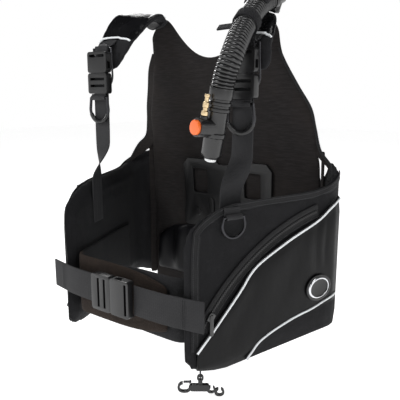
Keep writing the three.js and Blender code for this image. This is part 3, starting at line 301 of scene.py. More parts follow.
def new_mesh(name, points, faces=(), edges=()):
    mesh = bpy.data.meshes.new(name)
    mesh.from_pydata([tuple(p) for p in points], list(edges), list(faces))
    mesh.update()
    piece = bpy.data.objects.new(name, mesh)
    bpy.context.scene.collection.objects.link(piece)
    return piece


def in_edit(piece, *steps):
    """Runs edit-mode steps on everything in the piece."""
    focus(piece)
    bpy.ops.object.mode_set(mode="EDIT")
    bpy.ops.mesh.select_all(action="SELECT")
    for operator, options in steps:
        operator(**options)
    bpy.ops.object.mode_set(mode="OBJECT")


def apply(piece, kind, **options):
    focus(piece)
    modifier = piece.modifiers.new(kind, kind)
    for key, value in options.items():
        setattr(modifier, key, value)
    bpy.ops.object.modifier_apply(modifier=modifier.name)


def smooth(piece, angle=35):
    focus(piece)
    bpy.ops.object.shade_smooth_by_angle(angle=math.radians(angle))


def copied(node, name, quads=True):
    """A copy of a frame node with its corners merged."""
    mesh = frame["nodes"][node].data.copy()
    mesh.materials.clear()
    piece = bpy.data.objects.new(name, mesh)
    bpy.context.scene.collection.objects.link(piece)
    steps = [(bpy.ops.mesh.remove_doubles, {"threshold": 0.00002})]
    if quads:
        corners = {"face_threshold": 0.7, "shape_threshold": 0.7}
        steps.append((bpy.ops.mesh.tris_convert_to_quads, corners))
    else:
        steps.append((bpy.ops.mesh.dissolve_limited, {"angle_limit": math.radians(1)}))
    in_edit(piece, *steps)
    return piece


def keep(piece, body, slot, finish, *nodes):
    """Gives a piece its finish and its place on a body, in place of frame nodes."""
    piece.data.materials.clear()
    piece.data.materials.append(finish)
    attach(piece, body)
    if nodes:
        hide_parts(*nodes)
    return piece


def body_of(node):
    for name, nodes in frame["record"]["behaviour"]["bodies"].items():
        if node in nodes:
            return name
    raise RuntimeError(f"{node} is on no body")


def moulded(node, slot, finish, edge=None, angle=30, segments=2):
    """A moulded fitting: the node's shape with rounded edges."""
    piece = copied(node, f"{node}_moulding", quads=False)
    width = trim().edge if edge is None else edge
    apply(piece, "BEVEL", width=width, segments=segments, limit_method="ANGLE",
          angle_limit=math.radians(angle), use_clamp_overlap=True, harden_normals=False)
    smooth(piece, 40)
    return keep(piece, body_of(node), slot, finish, node)


def woven(node, slot, finish):
    """A strip of webbing: the node's shape with soft edges."""
    piece = copied(node, f"{node}_webbing")
    apply(piece, "BEVEL", width=WEBBING_EDGE, segments=2, limit_method="ANGLE", angle_limit=math.radians(50))
    apply(piece, "SUBSURF", levels=1, render_levels=1)
    smooth(piece, 60)
    return keep(piece, body_of(node), slot, finish, node)


def rounded_rod(node, slot, finish):
    """A thin cord or wire: the node's shape made round."""
    piece = copied(node, f"{node}_wire")
    apply(piece, "SUBSURF", levels=2, render_levels=2)
    smooth(piece, 180)
    return keep(piece, body_of(node), slot, finish, node)


def tube(name, line, radii, sides=20, closed=False):
    """A round tube along a line; radii is one radius or one for each place."""
    radii = [radii] * len(line) if isinstance(radii, float) else radii
    count = len(line)
    normal = None
    points = []
    for i, spot in enumerate(line):
        before = line[(i - 1) % count] if closed else line[max(i - 1, 0)]
        after = line[(i + 1) % count] if closed else line[min(i + 1, count - 1)]
        forward = (after - before).normalized()
        if normal is None:
            normal = forward.orthogonal()
        normal = (normal - forward * normal.dot(forward)).normalized()
        other = forward.cross(normal)
        for k in range(sides):
            turn = 2 * math.pi * k / sides
            points.append(spot + (normal * math.cos(turn) + other * math.sin(turn)) * radii[i])
    faces = []
    for i in range(count if closed else count - 1):
        j = (i + 1) % count
        for k in range(sides):
            m = (k + 1) % sides
            faces.append((i * sides + k, i * sides + m, j * sides + m, j * sides + k))
    if not closed:
        faces.append(tuple(range(sides - 1, -1, -1)))
        faces.append(tuple((count - 1) * sides + k for k in range(sides)))
    piece = new_mesh(name, points, faces)
    smooth(piece, 45)
    return piece


def tape(name, line, ups, width, thickness, crown=0.0):
    """A flat tape along a line; ups gives the direction out of its face at each place."""
    profile = [(-0.5, 0), (-0.5, 0.7), (-0.44, 1), (0, 1 + crown), (0.44, 1), (0.5, 0.7), (0.5, 0)]
    points = []
    for i, spot in enumerate(line):
        forward = (line[min(i + 1, len(line) - 1)] - line[max(i - 1, 0)]).normalized()
        across = ups[i].cross(forward).normalized()
        for side, high in profile:
            points.append(spot + across * (side * width) + ups[i] * (high * thickness))
    size = len(profile)
    faces = []
    for i in range(len(line) - 1):
        for k in range(size):
            m = (k + 1) % size
            faces.append((i * size + k, (i + 1) * size + k, (i + 1) * size + m, i * size + m))
    faces.append(tuple(range(size)))
    faces.append(tuple((len(line) - 1) * size + k for k in range(size - 1, -1, -1)))
    piece = new_mesh(name, points, faces)
    in_edit(piece, (bpy.ops.mesh.normals_make_consistent, {"inside": False}))
    smooth(piece, 50)
    return piece


def stitches(name, lines, lift=0.0):
    """Rows of stitches; each line is a list of places with the direction out of the cloth."""
    length = trim().stitch * 0.72
    radius = trim().thread
    points = []
    faces = []
    for line, ups in lines:
        for spot, forward in spaced(line, trim().stitch):
            nearest = min(range(len(line)), key=lambda k: (line[k] - spot).length_squared)
            up = ups[nearest]
            across = up.cross(forward).normalized()
            start = len(points)
            for share, high in ((-0.5, 0.1), (-0.3, 1.0), (0.3, 1.0), (0.5, 0.1)):
                middle = spot + forward * (share * length) + up * (lift + radius * (high - 0.4))
                for a, b in ((1, 0), (0, 1), (-1, 0), (0, -1)):
                    points.append(middle + (across * a + up * b) * radius * (0.5 + 0.5 * high))
            for ring in range(3):
                for k in range(4):
                    m = (k + 1) % 4
                    faces.append((start + ring * 4 + k, start + ring * 4 + m, start + ring * 4 + 4 + m,
                                  start + ring * 4 + 4 + k))
            faces.append((start + 3, start + 2, start + 1, start))
            faces.append((start + 12, start + 13, start + 14, start + 15))
    piece = new_mesh(name, points, faces)
    smooth(piece, 180)
    return piece


def coordinates(piece):
    flat = np.empty(len(piece.data.vertices) * 3)
    piece.data.vertices.foreach_get("co", flat)
    return flat.reshape(-1, 3)


def normals(piece):
    flat = np.empty(len(piece.data.vertices) * 3)
    piece.data.vertices.foreach_get("normal", flat)
    return flat.reshape(-1, 3)


def move_to(piece, points):
    piece.data.vertices.foreach_set("co", points.ravel())
    piece.data.update()


def settled(node, voxel=None, inset=None, cap=None, spare=None, relax=3):
    """Cloth over a filling: a copy of the node, remeshed, left to settle and kept inside the node's shape."""
    voxel = voxel or cloth().voxel
    cap = cap or cloth().cap
    inset = cloth().inset if inset is None else inset
    spare = cloth().spare if spare is None else spare
    piece = copied(node, f"{node}_cloth")
    coarser = 1
    apply(piece, "REMESH", mode="VOXEL", voxel_size=voxel * coarser, adaptivity=0)
    apply(piece, "SMOOTH", factor=0.5, iterations=relax)
    outer = coordinates(piece)
    facing = normals(piece)
    start = outer - facing * inset
    move_to(piece, start)
    sheet = piece.modifiers.new("Cloth", "CLOTH")
    sheet.settings.quality = 4
    sheet.settings.mass = CLOTH_MASS
    sheet.settings.tension_stiffness = CLOTH_STRETCH
    sheet.settings.compression_stiffness = CLOTH_STRETCH
    sheet.settings.bending_stiffness = CLOTH_BEND
    sheet.settings.shrink_min = -spare
    sheet.settings.use_pressure = True
    sheet.settings.uniform_pressure_force = cloth().pressure
    sheet.settings.effector_weights.gravity = 0
    sheet.collision_settings.use_collision = False
    for number in range(1, SETTLING_FRAMES + 1):
        bpy.context.scene.frame_set(number)
    focus(piece)
    bpy.ops.object.modifier_apply(modifier="Cloth")
    moved = coordinates(piece) - start
    moved -= moved.mean(axis=0)
    length = np.linalg.norm(moved, axis=1, keepdims=True)
    moved *= np.minimum(1, cap / np.maximum(length, 1e-9))
    proud = ((moved - facing * inset) * facing).sum(axis=1, keepdims=True)
    move_to(piece, start + moved - facing * np.maximum(proud, 0))
    apply(piece, "SMOOTH", factor=0.4, iterations=1)
    bpy.context.scene.frame_set(1)
    apply(piece, "SUBSURF", levels=1, render_levels=1)
    smooth(piece, 180)
    return piece


def creased(piece, hand, lines, width, depth):
    """Presses soft creases into the outer face of a piece on the side; lines are (s, z) places in mm."""
    points = coordinates(piece)
    facing = normals(piece)
    for line in lines:
        spots = np.array([tuple(p) for p in curve_through([on_side(s, z, 0, hand) for s, z in line], 8)])
        out = np.array(outward(line[0][0], hand))
        near = np.full(len(points), 1.0)
        for spot in spots:
            away = points - spot
            away -= (away @ out)[:, None] * out
            near = np.minimum(near, np.linalg.norm(away, axis=1))
        press = depth * np.exp(-((near / width) ** 2)) * ((facing @ out) > 0.3)
        points -= press[:, None] * out
    move_to(piece, points)


def draped(piece, points, ups, reach=0.02):
    """Moves places onto the piece's surface, looking in from outside."""
    spots = []
    for spot, up in zip(points, ups):
        hit, where, _, _ = piece.ray_cast(spot + up * reach, -up)
        spots.append(where.copy() if hit and (where - spot).length < reach else spot)
    return spots


def side_line(profile, offset, hand, steps=6, over=None):
    """A smooth line on the side through (s, z) places, with its outward directions."""
    flat = curve_through([Vector((s, z, 0)) for s, z in profile], steps)
    line = [on_side(p.x, p.y, offset, hand) for p in flat]
    ups = [outward(p.x, hand) for p in flat]
    if over:
        line = draped(over, line, ups)
    return line, ups


# ---------------------------------------------------------------- shader helpers

class Value:
    """A socket that can be added, multiplied and compared like a number."""

    def __init__(self, recipe, socket):
        self.recipe = recipe
        self.socket = socket

    def math(self, operation, *others):
        return self.recipe.node("ShaderNodeMath", {"operation": operation}, self, *others)

    def __add__(self, other):
        return self.math("ADD", other)

    def __radd__(self, other):
        return self.math("ADD", other)

    def __sub__(self, other):
        return self.math("SUBTRACT", other)

    def __rsub__(self, other):
        return self.recipe.node("ShaderNodeMath", {"operation": "SUBTRACT"}, other, self)

    def __mul__(self, other):
        return self.math("MULTIPLY", other)

    def __rmul__(self, other):
        return self.math("MULTIPLY", other)

    def sin(self):
        return self.math("SINE")

    def size(self):
        return self.math("ABSOLUTE")

    def step(self, low, high):
        """0 below low, 1 above high, and smooth between."""
        return self.recipe.node(
            "ShaderNodeMapRange", {"interpolation_type": "SMOOTHSTEP"}, self, low, high, 0.0, 1.0)


class Recipe:
    """Builds the nodes of one finish."""

    def __init__(self, name):
        self.material = bpy.data.materials.new(name)
        self.material.use_nodes = True
        self.tree = self.material.node_tree
        self.tree.nodes.clear()
        self.spots = self.node("ShaderNodeTexCoord", {}, output="Object")

    def node(self, kind, settings, *inputs, output=0, **named):
        made = self.tree.nodes.new(kind)
        for key, value in settings.items():
            setattr(made, key, value)
        given = list(enumerate(inputs)) + [(key.replace("_", " "), value) for key, value in named.items()]
        for key, value in given:
            socket = made.inputs[key]
            if isinstance(value, Value):
                self.tree.links.new(value.socket, socket)
            else:
                socket.default_value = value
        return Value(self, made.outputs[output])

    def noise(self, scale, detail=3.0, rough=0.55, at=None):
        return self.node("ShaderNodeTexNoise", {}, output="Fac", Vector=at or self.spots, Scale=scale,
                         Detail=detail, Roughness=rough)

    def stretched(self, x, y, z):
        return self.node("ShaderNodeMapping", {}, Vector=self.spots, Scale=(x, y, z))

    def parts(self):
        split = self.tree.nodes.new("ShaderNodeSeparateXYZ")
        self.tree.links.new(self.spots.socket, split.inputs[0])
        return [Value(self, split.outputs[k]) for k in range(3)]

    def mix(self, share, first, second):
        made = self.tree.nodes.new("ShaderNodeMix")
        made.data_type = "RGBA"
        sockets = (made.inputs["Factor"], made.inputs[6], made.inputs[7])
        for socket, value in zip(sockets, (share, first, second)):
            if isinstance(value, Value):
                self.tree.links.new(value.socket, socket)
            else:
                socket.default_value = value if isinstance(value, (int, float)) else (*value, 1)[:4]
        return Value(self, made.outputs[2])

    def bump(self, height, distance, strength=1.0, normal=None):
        extra = {"Normal": normal} if normal else {}
        return self.node("ShaderNodeBump", {}, Strength=strength, Distance=distance, Height=height, **extra)

    def finish(self, **sockets):
        shader = self.node("ShaderNodeBsdfPrincipled", {})
        made = shader.socket.node
        for key, value in sockets.items():
            socket = made.inputs[key.replace("_", " ")]
            if isinstance(value, Value):
                self.tree.links.new(value.socket, socket)
            elif isinstance(value, (int, float)):
                socket.default_value = value
            else:
                socket.default_value = (*value, 1)[:4]
        end = self.tree.nodes.new("ShaderNodeOutputMaterial")
        self.tree.links.new(shader.socket, end.inputs[0])
        return self.material


def shade(colour_value, factor):
    return tuple(min(1.0, c * factor) for c in colour_value)


def weave(across, up, pitch):
    """Over-and-under threads: height from 0 to 1."""
    turn = 2 * math.pi / pitch
    warp = (across * turn).sin()
    weft = (up * turn).sin()
    return (warp * weft).size() * 0.6 + (warp.size() * 0.2 + weft.size() * 0.2)


def side_run(recipe):
    x, y, z = recipe.parts()
    return x.size() * HEADING[0] + y * HEADING[1], z


def heavy_cloth(name, base, pitch=0.0016, gloss=0.78, sheen=0.03):
    """Heavy woven nylon with a slight mottle."""
    r = Recipe(name)
    run, z = side_run(r)
    threads = weave(run, z, pitch)
    mottle = r.noise(900.0, 2.0)
    cloud = r.noise(16.0, 4.0, 0.6)
    wear = r.noise(60.0, 5.0, 0.7).step(0.5, 0.72)
    shades = r.mix(mottle.step(0.35, 0.7) * 0.7, shade(base, 0.55), shade(base, 2.1))
    shades = r.mix(cloud.step(0.3, 0.75) * 0.45, shades, shade(base, 1.7))
    shades = r.mix(wear * 0.18, shades, shade(base, 3.4))
    rough = gloss + (mottle - 0.5) * 0.18 - wear * 0.05
    fold = r.noise(22.0, 3.0, 0.5)
    normal = r.bump(fold, 0.004, 0.35)
    normal = r.bump(threads * 0.7 + mottle * 0.3, 0.00035, 0.75, normal)
    return r.finish(Base_Color=shades, Roughness=rough, Normal=normal, Sheen_Weight=sheen,
                    Sheen_Roughness=0.45, Specular_IOR_Level=0.16)


def lining_cloth(name, base):
    """Fine lining with level threads."""
    r = Recipe(name)
    height = r.parts()[2]
    lines = (height * (2 * math.pi / 0.0019)).sin() * 0.5 + 0.5
    slub = r.noise(420.0, 3.0, 0.6, r.stretched(0.12, 0.12, 1.0))
    cloud = r.noise(9.0, 4.0, 0.6)
    shades = r.mix(slub.step(0.35, 0.7) * 0.6, shade(base, 0.6), shade(base, 1.55))
    shades = r.mix(lines * 0.3, shades, shade(base, 0.62))
    shades = r.mix(cloud.step(0.35, 0.7) * 0.35, shades, (base[0] * 1.25, base[1] * 1.1, base[2] * 0.95))
    normal = r.bump(r.noise(11.0, 3.0, 0.5), 0.006, 0.4)
    normal = r.bump(lines * 0.5 + slub * 0.5, 0.0003, 0.7, normal)
    return r.finish(Base_Color=shades, Roughness=0.86 + (slub - 0.5) * 0.15, Normal=normal, Sheen_Weight=0.03,
                    Sheen_Roughness=0.5, Specular_IOR_Level=0.15)


def coated_cloth(name, base, gloss=0.24, folds=0.006):
    """Cloth with a glossy coat, softly creased, its weave showing faintly."""
    r = Recipe(name)
    run, z = side_run(r)
    threads = weave(run, z, 0.0013)
    creases = r.noise(13.0, 3.0, 0.5, r.stretched(1.0, 1.0, 0.45))
    fine = r.noise(75.0, 3.0, 0.5)
    smudge = r.noise(24.0, 5.0, 0.65)
    scuff = r.noise(300.0, 3.0, 0.7, r.stretched(1.0, 1.0, 0.2)).step(0.62, 0.8)
    shades = r.mix(smudge.step(0.35, 0.75) * 0.5, base, shade(base, 2.2))
    shades = r.mix(scuff * 0.25, shades, shade(base, 5.0))
    rough = gloss + smudge * 0.14 + scuff * 0.18
    normal = r.bump(creases, folds, 0.5)
    normal = r.bump(fine, 0.0008, 0.3, normal)
    normal = r.bump(threads, 0.00012, 0.35, normal)
    return r.finish(Base_Color=shades, Roughness=rough, Normal=normal, Coat_Weight=0.02, Coat_Roughness=0.2,
                    Specular_IOR_Level=0.15)


def webbing_cloth(name, base, upright=False, pitch=0.0017):
    """Flat woven belt: ribs along it, and a chevron of threads across it."""
    r = Recipe(name)
    run, z = side_run(r)
    if upright:
        x, y, height = r.parts()
        run, z = height, x.size() * 0.8 - y * 0.6
    turn = 2 * math.pi / pitch
    zig = (z * (turn * 0.35)).sin() * 0.0011
    ribs = ((run + zig) * turn).sin() * 0.5 + 0.5
    cords = (z * (turn * 0.8)).sin() * 0.5 + 0.5
    fuzz = r.noise(1100.0, 2.0)
    cloud = r.noise(28.0, 4.0, 0.6)
    shades = r.mix(ribs * 0.45 + fuzz * 0.35, shade(base, 0.6), shade(base, 1.5))
    shades = r.mix(cloud.step(0.3, 0.75) * 0.35, shades, shade(base, 1.7))
    normal = r.bump(ribs * 0.6 + cords * 0.4, 0.0004, 0.8)
    normal = r.bump(fuzz, 0.0002, 0.4, normal)
    return r.finish(Base_Color=shades, Roughness=0.6 + fuzz * 0.16, Normal=normal, Sheen_Weight=0.06,
                    Sheen_Roughness=0.35, Specular_IOR_Level=0.25)


def moulded_plastic(name, base, gloss=0.3, grain=0.00012, wear=0.3, coat=0.0):
    """Moulded plastic with a fine grain, soft smudges and light scratches."""
    r = Recipe(name)
    pits = r.noise(1700.0, 2.0)
    smudge = r.noise(45.0, 4.0, 0.6)
    scratch = r.noise(240.0, 4.0, 0.7, r.stretched(1.0, 0.25, 3.0)).step(0.6, 0.78)
    shades = r.mix(smudge.step(0.35, 0.75) * 0.4, base, shade(base, 1.8))
    shades = r.mix(scratch * wear * 0.5, shades, shade(base, 4.0))
    rough = gloss + smudge * 0.12 + pits * 0.05 + scratch * (0.2 * wear)
    normal = r.bump(pits * 0.8 + smudge * 0.2, grain, 0.6)
    return r.finish(Base_Color=shades, Roughness=rough, Normal=normal, Coat_Weight=coat, Coat_Roughness=0.1,
                    Specular_IOR_Level=0.5)


def hose_rubber(name, base):
    """Smooth rubber with a patchy pale bloom and dust."""
    r = Recipe(name)
    bloom = r.noise(60.0, 5.0, 0.65)
    grain = r.noise(1500.0, 2.0)
    shades = r.mix(bloom.step(0.4, 0.75) * 0.6, base, shade(base, 2.6))
    normal = r.bump(grain, 0.0001, 0.5)
    return r.finish(Base_Color=shades, Roughness=0.24 + bloom * 0.16, Normal=normal, Coat_Weight=0.35,
                    Coat_Roughness=0.16, Specular_IOR_Level=0.5)


def metal(name, base, gloss=0.16, brush=0.5):
    """Polished metal with fine brushing and dull spots."""
    r = Recipe(name)
    lines = r.noise(500.0, 3.0, 0.6, r.stretched(0.2, 1.0, 1.0))
    spots = r.noise(70.0, 4.0, 0.6)
    shades = r.mix(spots.step(0.45, 0.8) * 0.6, base, shade(base, 0.55))
    rough = gloss + lines * (0.16 * brush) + spots * 0.1
    normal = r.bump(lines, 0.00006, 0.4 * brush)
    return r.finish(Base_Color=shades, Metallic=1.0, Roughness=rough, Normal=normal)


def piping_cloth(name, base):
    """Pale reflective piping with a fine grid."""
    r = Recipe(name)
    beads = r.noise(1400.0, 2.0)
    dirt = r.noise(55.0, 4.0, 0.65).step(0.52, 0.78)
    shades = r.mix(dirt * 0.25, base, shade(base, 0.6))
    return r.finish(Base_Color=shades, Roughness=0.42 + beads * 0.15, Normal=r.bump(beads, 0.00015, 0.5),
                    Specular_IOR_Level=0.6)


def bright_button(name, base, gloss=0.26):
    r = Recipe(name)
    cloud = r.noise(160.0, 4.0, 0.6)
    grime = r.noise(420.0, 3.0, 0.6).step(0.6, 0.78)
    shades = r.mix(cloud.step(0.3, 0.7) * 0.5, base, shade(base, 1.22))
    shades = r.mix(grime * 0.35, shades, shade(base, 0.6))
    return r.finish(Base_Color=shades, Roughness=gloss + cloud * 0.12, Normal=r.bump(cloud, 0.0002, 0.35),
                    Coat_Weight=0.3, Coat_Roughness=0.12)


FINISHES = {}


def finish(name):
    """A named finish, made when it is first asked for."""
    c = colours()
    makers = {
        "shell_cloth": lambda n: heavy_cloth(n, c.cloth),
        "binding_cloth": lambda n: webbing_cloth(n, shade(c.webbing, 0.62), pitch=0.0012),
        "lining_cloth": lambda n: lining_cloth(n, c.lining),
        "pocket_vinyl": lambda n: coated_cloth(n, shade(c.vinyl, 0.5)),
        "pad_vinyl": lambda n: coated_cloth(n, c.vinyl, 0.2, 0.004),
        "pad_cloth": lambda n: heavy_cloth(n, shade(c.cloth, 1.35), 0.0014, 0.82, 0.05),
        "lumbar_vinyl": lambda n: coated_cloth(n, shade(c.vinyl, 1.6), 0.3, 0.003),
        "belt_webbing": lambda n: webbing_cloth(n, c.webbing),
        "strap_webbing": lambda n: webbing_cloth(n, shade(c.webbing, 1.15), upright=True),
        "cummerbund_brown": lambda n: heavy_cloth(n, c.cummerbund, 0.0012, 0.85, 0.04),
        "cummerbund_grey": lambda n: heavy_cloth(n, shade(c.webbing, 0.9), 0.0012, 0.85, 0.04),
        "thread": lambda n: webbing_cloth(n, shade(c.webbing, 3.2), pitch=0.0006),
        "dark_thread": lambda n: webbing_cloth(n, shade(c.webbing, 1.7), pitch=0.0006),
        "piping": lambda n: piping_cloth(n, c.piping),
        "zip_tape": lambda n: webbing_cloth(n, shade(c.webbing, 0.5), pitch=0.0011),
        "zip_teeth": lambda n: moulded_plastic(n, shade(c.plastic, 1.6), 0.26),
        "slider_enamel": lambda n: moulded_plastic(n, shade(c.plastic, 1.2), 0.22, wear=1.0, coat=0.4),
        "buckle_plastic": lambda n: moulded_plastic(n, c.plastic, 0.25),
        "plate_plastic": lambda n: moulded_plastic(n, shade(c.plastic, 0.9), 0.34, 0.0003),
        "inflator_plastic": lambda n: moulded_plastic(n, c.plastic, 0.2, wear=0.2, coat=0.25),
        "hose_rubber": lambda n: hose_rubber(n, shade(c.plastic, 0.85)),
        "grip_rubber": lambda n: hose_rubber(n, shade(c.plastic, 1.4)),
        "ring_steel": lambda n: metal(n, (0.05, 0.05, 0.054), 0.24),
        "bright_metal": lambda n: metal(n, (0.72, 0.73, 0.75), 0.16),
        "warm_metal": lambda n: metal(n, (0.72, 0.56, 0.34), 0.2),
        "orange_plastic": lambda n: bright_button(n, c.orange),
        "pale_plastic": lambda n: bright_button(n, c.pale, 0.3),
    }
    if name not in FINISHES:
        FINISHES[name] = makers[name](name)
    return FINISHES[name]


# ---------------------------------------------------------------- pieces

class VestOperator(bpy.types.Operator):
    """Makes one group of the vest's pieces"""
    bl_options = {"REGISTER"}

    def execute(self, context):
        self.make()
        return {"FINISHED"}


class VEST_OT_lobes(VestOperator):
    """Front lobes with their bound, double-stitched edges"""
    bl_idname = "vest.lobes"
    bl_label = "Lobes"

    def make(self):
        for side, hand in HANDS:
            shell = settled(f"{side}_lobe")
            keep(shell, "vest", "shell_fabric", finish("shell_cloth"), f"{side}_lobe")
            edge = LOBE_FRONT + [(s, z - HEM) for s, z in LOBE_RIM]
            line, ups = side_line(edge, LOBE_OFFSET, hand, 6, shell)
            line = [p + u * 0.0002 for p, u in zip(line, ups)]
            band = tape(f"{side}_lobe_binding", line, ups, trim().binding, 0.0011, 0.2)
            keep(band, "vest", "webbing", finish("binding_cloth"))
            rows = []
            for shift in (-0.25, 0.3):
                row = []
                for i, spot in enumerate(line):
                    forward = (line[min(i + 1, len(line) - 1)] - line[max(i - 1, 0)]).normalized()
                    row.append(spot + ups[i].cross(forward).normalized() * (shift * trim().binding))
                rows.append((row, ups))
            seam = stitches(f"{side}_lobe_stitching", rows, 0.0013)
            keep(seam, "vest", "webbing", finish("thread"))


class VEST_OT_pockets(VestOperator):
    """Coated pockets with pale piping and a plain cloth corner"""
    bl_idname = "vest.pockets"
    bl_label = "Pockets"

    def make(self):
        for side, hand in HANDS:
            panel = copied(f"{side}_pocket", f"{side}_pocket_cloth")
            apply(panel, "BEVEL", width=0.0012, segments=2, limit_method="ANGLE",
                  angle_limit=math.radians(40))
            in_edit(panel, (bpy.ops.mesh.subdivide, {"number_cuts": 3, "quadcorner": "INNERVERT"}))
            smooth(panel, 60)
            creased(panel, hand, POCKET_SHARP_FOLDS, 0.0085, 0.0022)
            creased(panel, hand, POCKET_SOFT_FOLDS, 0.014, 0.0012)
            keep(panel, "vest", "pocket_vinyl", finish("pocket_vinyl"), f"{side}_pocket")
            panel.data.materials.append(finish("shell_cloth"))
            for face in panel.data.polygons:
                s = side_distance(face.center)
                height = face.center.z * 1000 + PAD_HEIGHT
                below = along([(80, -6), *LOWER_PIPING, (400, 96)], s)
                face.material_index = 1 if s > 84 and height < below else 0
            top = [(s, z - 1.5) for s, z in POCKET_TOP]
            for label, profile in (("upper", top), ("lower", LOWER_PIPING)):
                line, ups = side_line(profile, 0.5, hand, 8)
                cord = tube(f"{side}_pocket_{label}_piping", line, trim().piping, 12)
                keep(cord, "vest", "pocket_vinyl", finish("piping"))
                under = [p - u * 0.0009 for p, u in zip(line, ups)]
                seat = tape(f"{side}_pocket_{label}_seam", under, ups, 0.0075, 0.0007)
                keep(seat, "vest", "webbing", finish("binding_cloth"))


class VEST_OT_zips(VestOperator):
    """Curved zips: woven tape, moulded teeth and an enamelled slider"""
    bl_idname = "vest.zips"
    bl_label = "Zips"

    def make(self):
        (ax, ay), (bx, by), (cx, cy) = ZIP_ARC
        d = 2 * (ax * (by - cy) + bx * (cy - ay) + cx * (ay - by))
        a, b, c = ax * ax + ay * ay, bx * bx + by * by, cx * cx + cy * cy
        x = (a * (by - cy) + b * (cy - ay) + c * (ay - by)) / d
        y = (a * (cx - bx) + b * (ax - cx) + c * (bx - ax)) / d
        radius = math.hypot(ax - x, ay - y)
        first = math.atan2(ay - y, ax - x)
        last = math.atan2(cy - y, cx - x)
        for side, hand in HANDS:
            def arc(extra, height, count, start=0.0, end=1.0):
                spots = []
                for k in range(count):
                    turn = first + (last - first) * (start + (end - start) * k / (count - 1))
                    reach = radius + extra
                    s, z = x + reach * math.cos(turn), y + reach * math.sin(turn)
                    spots.append(on_side(s, z, height, hand))
                return spots, [outward(100, hand)] * count

            line, ups = arc(0, -5.5, 60)
            band = tape(f"{side}_zip_band", line, ups, 0.0235, 0.0015)
            keep(band, "vest", "zip_tape", finish("zip_tape"), f"{side}_zip_chain")
            flap_line, flap_ups = arc(8.2, -4.2, 60)
            flap = tape(f"{side}_zip_garage", flap_line, flap_ups, 0.0078, 0.0013, 0.5)
            keep(flap, "vest", "zip_tape", finish("binding_cloth"))
            rows = [arc(extra, -3.9, 60) for extra in (-9.5, 5.6)]
            keep(stitches(f"{side}_zip_stitching", rows, 0.0003), "vest", "zip_tape", finish("thread"))
            points = []
            faces = []
            out = outward(100, hand)
            teeth, _ = arc(0, -4.0, 150, 0.01, 0.99)
            for k, spot in enumerate(teeth[:-1]):
                forward = (teeth[k + 1] - spot).normalized()
                across = out.cross(forward)
                middle = spot + across * (0.0009 if k % 2 else -0.0009)
                start = len(points)
                for up in (0.0, 0.0013):
                    wide = 0.0021 if up == 0 else 0.0016
                    for u, v in ((-1, -1), (1, -1), (1, 1), (-1, 1)):
                        points.append(middle + forward * (u * 0.00072) + across * (v * wide) + out * up)
                faces.append((start, start + 3, start + 2, start + 1))
                faces.append((start + 4, start + 5, start + 6, start + 7))
                for i in range(4):
                    j = (i + 1) % 4
                    faces.append((start + i, start + j, start + 4 + j, start + 4 + i))
            row = new_mesh(f"{side}_zip_teeth", points, faces)
            in_edit(row, (bpy.ops.mesh.normals_make_consistent, {"inside": False}))
            keep(row, "vest", "zip_tape", finish("zip_teeth"))
            moulded(f"{side}_zip_slider", "zip_metal", finish("slider_enamel"), 0.0008)


class VEST_OT_badge(VestOperator):
    """Plain oval badge with a bright rim"""
    bl_idname = "vest.badge"
    bl_label = "Badge"

    def make(self):
        plate = moulded("left_badge", "badge_metal", finish("buckle_plastic"), 0.0005)
        low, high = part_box("left_badge")
        middle = (Vector(low) + Vector(high)) / 2
        out = outward(240, 1)
        run = Vector((HEADING[0], HEADING[1], 0))
        face = max(out.dot(Vector(v.co)) for v in plate.data.vertices)
        centre = middle + out * (face - out.dot(middle))
        half_run = (high[1] - low[1]) / (2 * HEADING[1]) * 0.76
        half_high = (high[2] - low[2]) / 2 * 0.74
        ring = []
        widths = []
        for k in range(RIM_STEPS):
            turn = 2 * math.pi * k / RIM_STEPS
            up = Vector((0, 0, half_high * math.sin(turn)))
            ring.append(centre + run * (half_run * math.cos(turn)) + up)
            widths.append(0.0008 + 0.0019 * (0.5 - 0.5 * math.cos(turn + 0.5)))
        rim = tube("badge_rim", ring, widths, 12, True)
        keep(rim, "vest", "badge_metal", finish("bright_metal"))


class VEST_OT_back(VestOperator):
    """Back panel, air cell, harness plate and lumbar pad"""
    bl_idname = "vest.back"
    bl_label = "Back"

    def make(self):
        panel = copied("back_panel", "back_lining")
        apply(panel, "SUBSURF", levels=2, render_levels=2)
        self.ripple(panel)
        smooth(panel, 70)
        keep(panel, "vest", "lining_fabric", finish("lining_cloth"), "back_panel")
        cell = settled("back_air_cell", voxel=0.0065, cap=0.008, spare=0.04)
        keep(cell, "vest", "shell_fabric", finish("shell_cloth"), "back_air_cell")
        moulded("backplate", "plate_plastic", finish("plate_plastic"), 0.0016, segments=3)
        pad = copied("lumbar_pad", "lumbar_cover")
        apply(pad, "SUBSURF", levels=2, render_levels=2)
        smooth(pad, 80)
        keep(pad, "vest", "pad_vinyl", finish("lumbar_vinyl"), "lumbar_pad")

    def ripple(self, piece):
        """Gives the lining the slow ripples of stretched cloth."""
        points = coordinates(piece)
        facing = normals(piece)
        lift = np.array([noise.noise(Vector((p[0] * 9, p[1] * 4, p[2] * 5))) for p in points])
        points -= facing * (np.abs(lift) * 0.0016)[:, None]
        high = np.clip((points[:, 2] - 0.29) / 0.07, 0, 1)
        points[:, 2] += 0.012 * high * high
        points[:, 2] -= 0.022 * np.clip((-0.165 - points[:, 2]) / 0.018, 0, 1)
        move_to(piece, points)


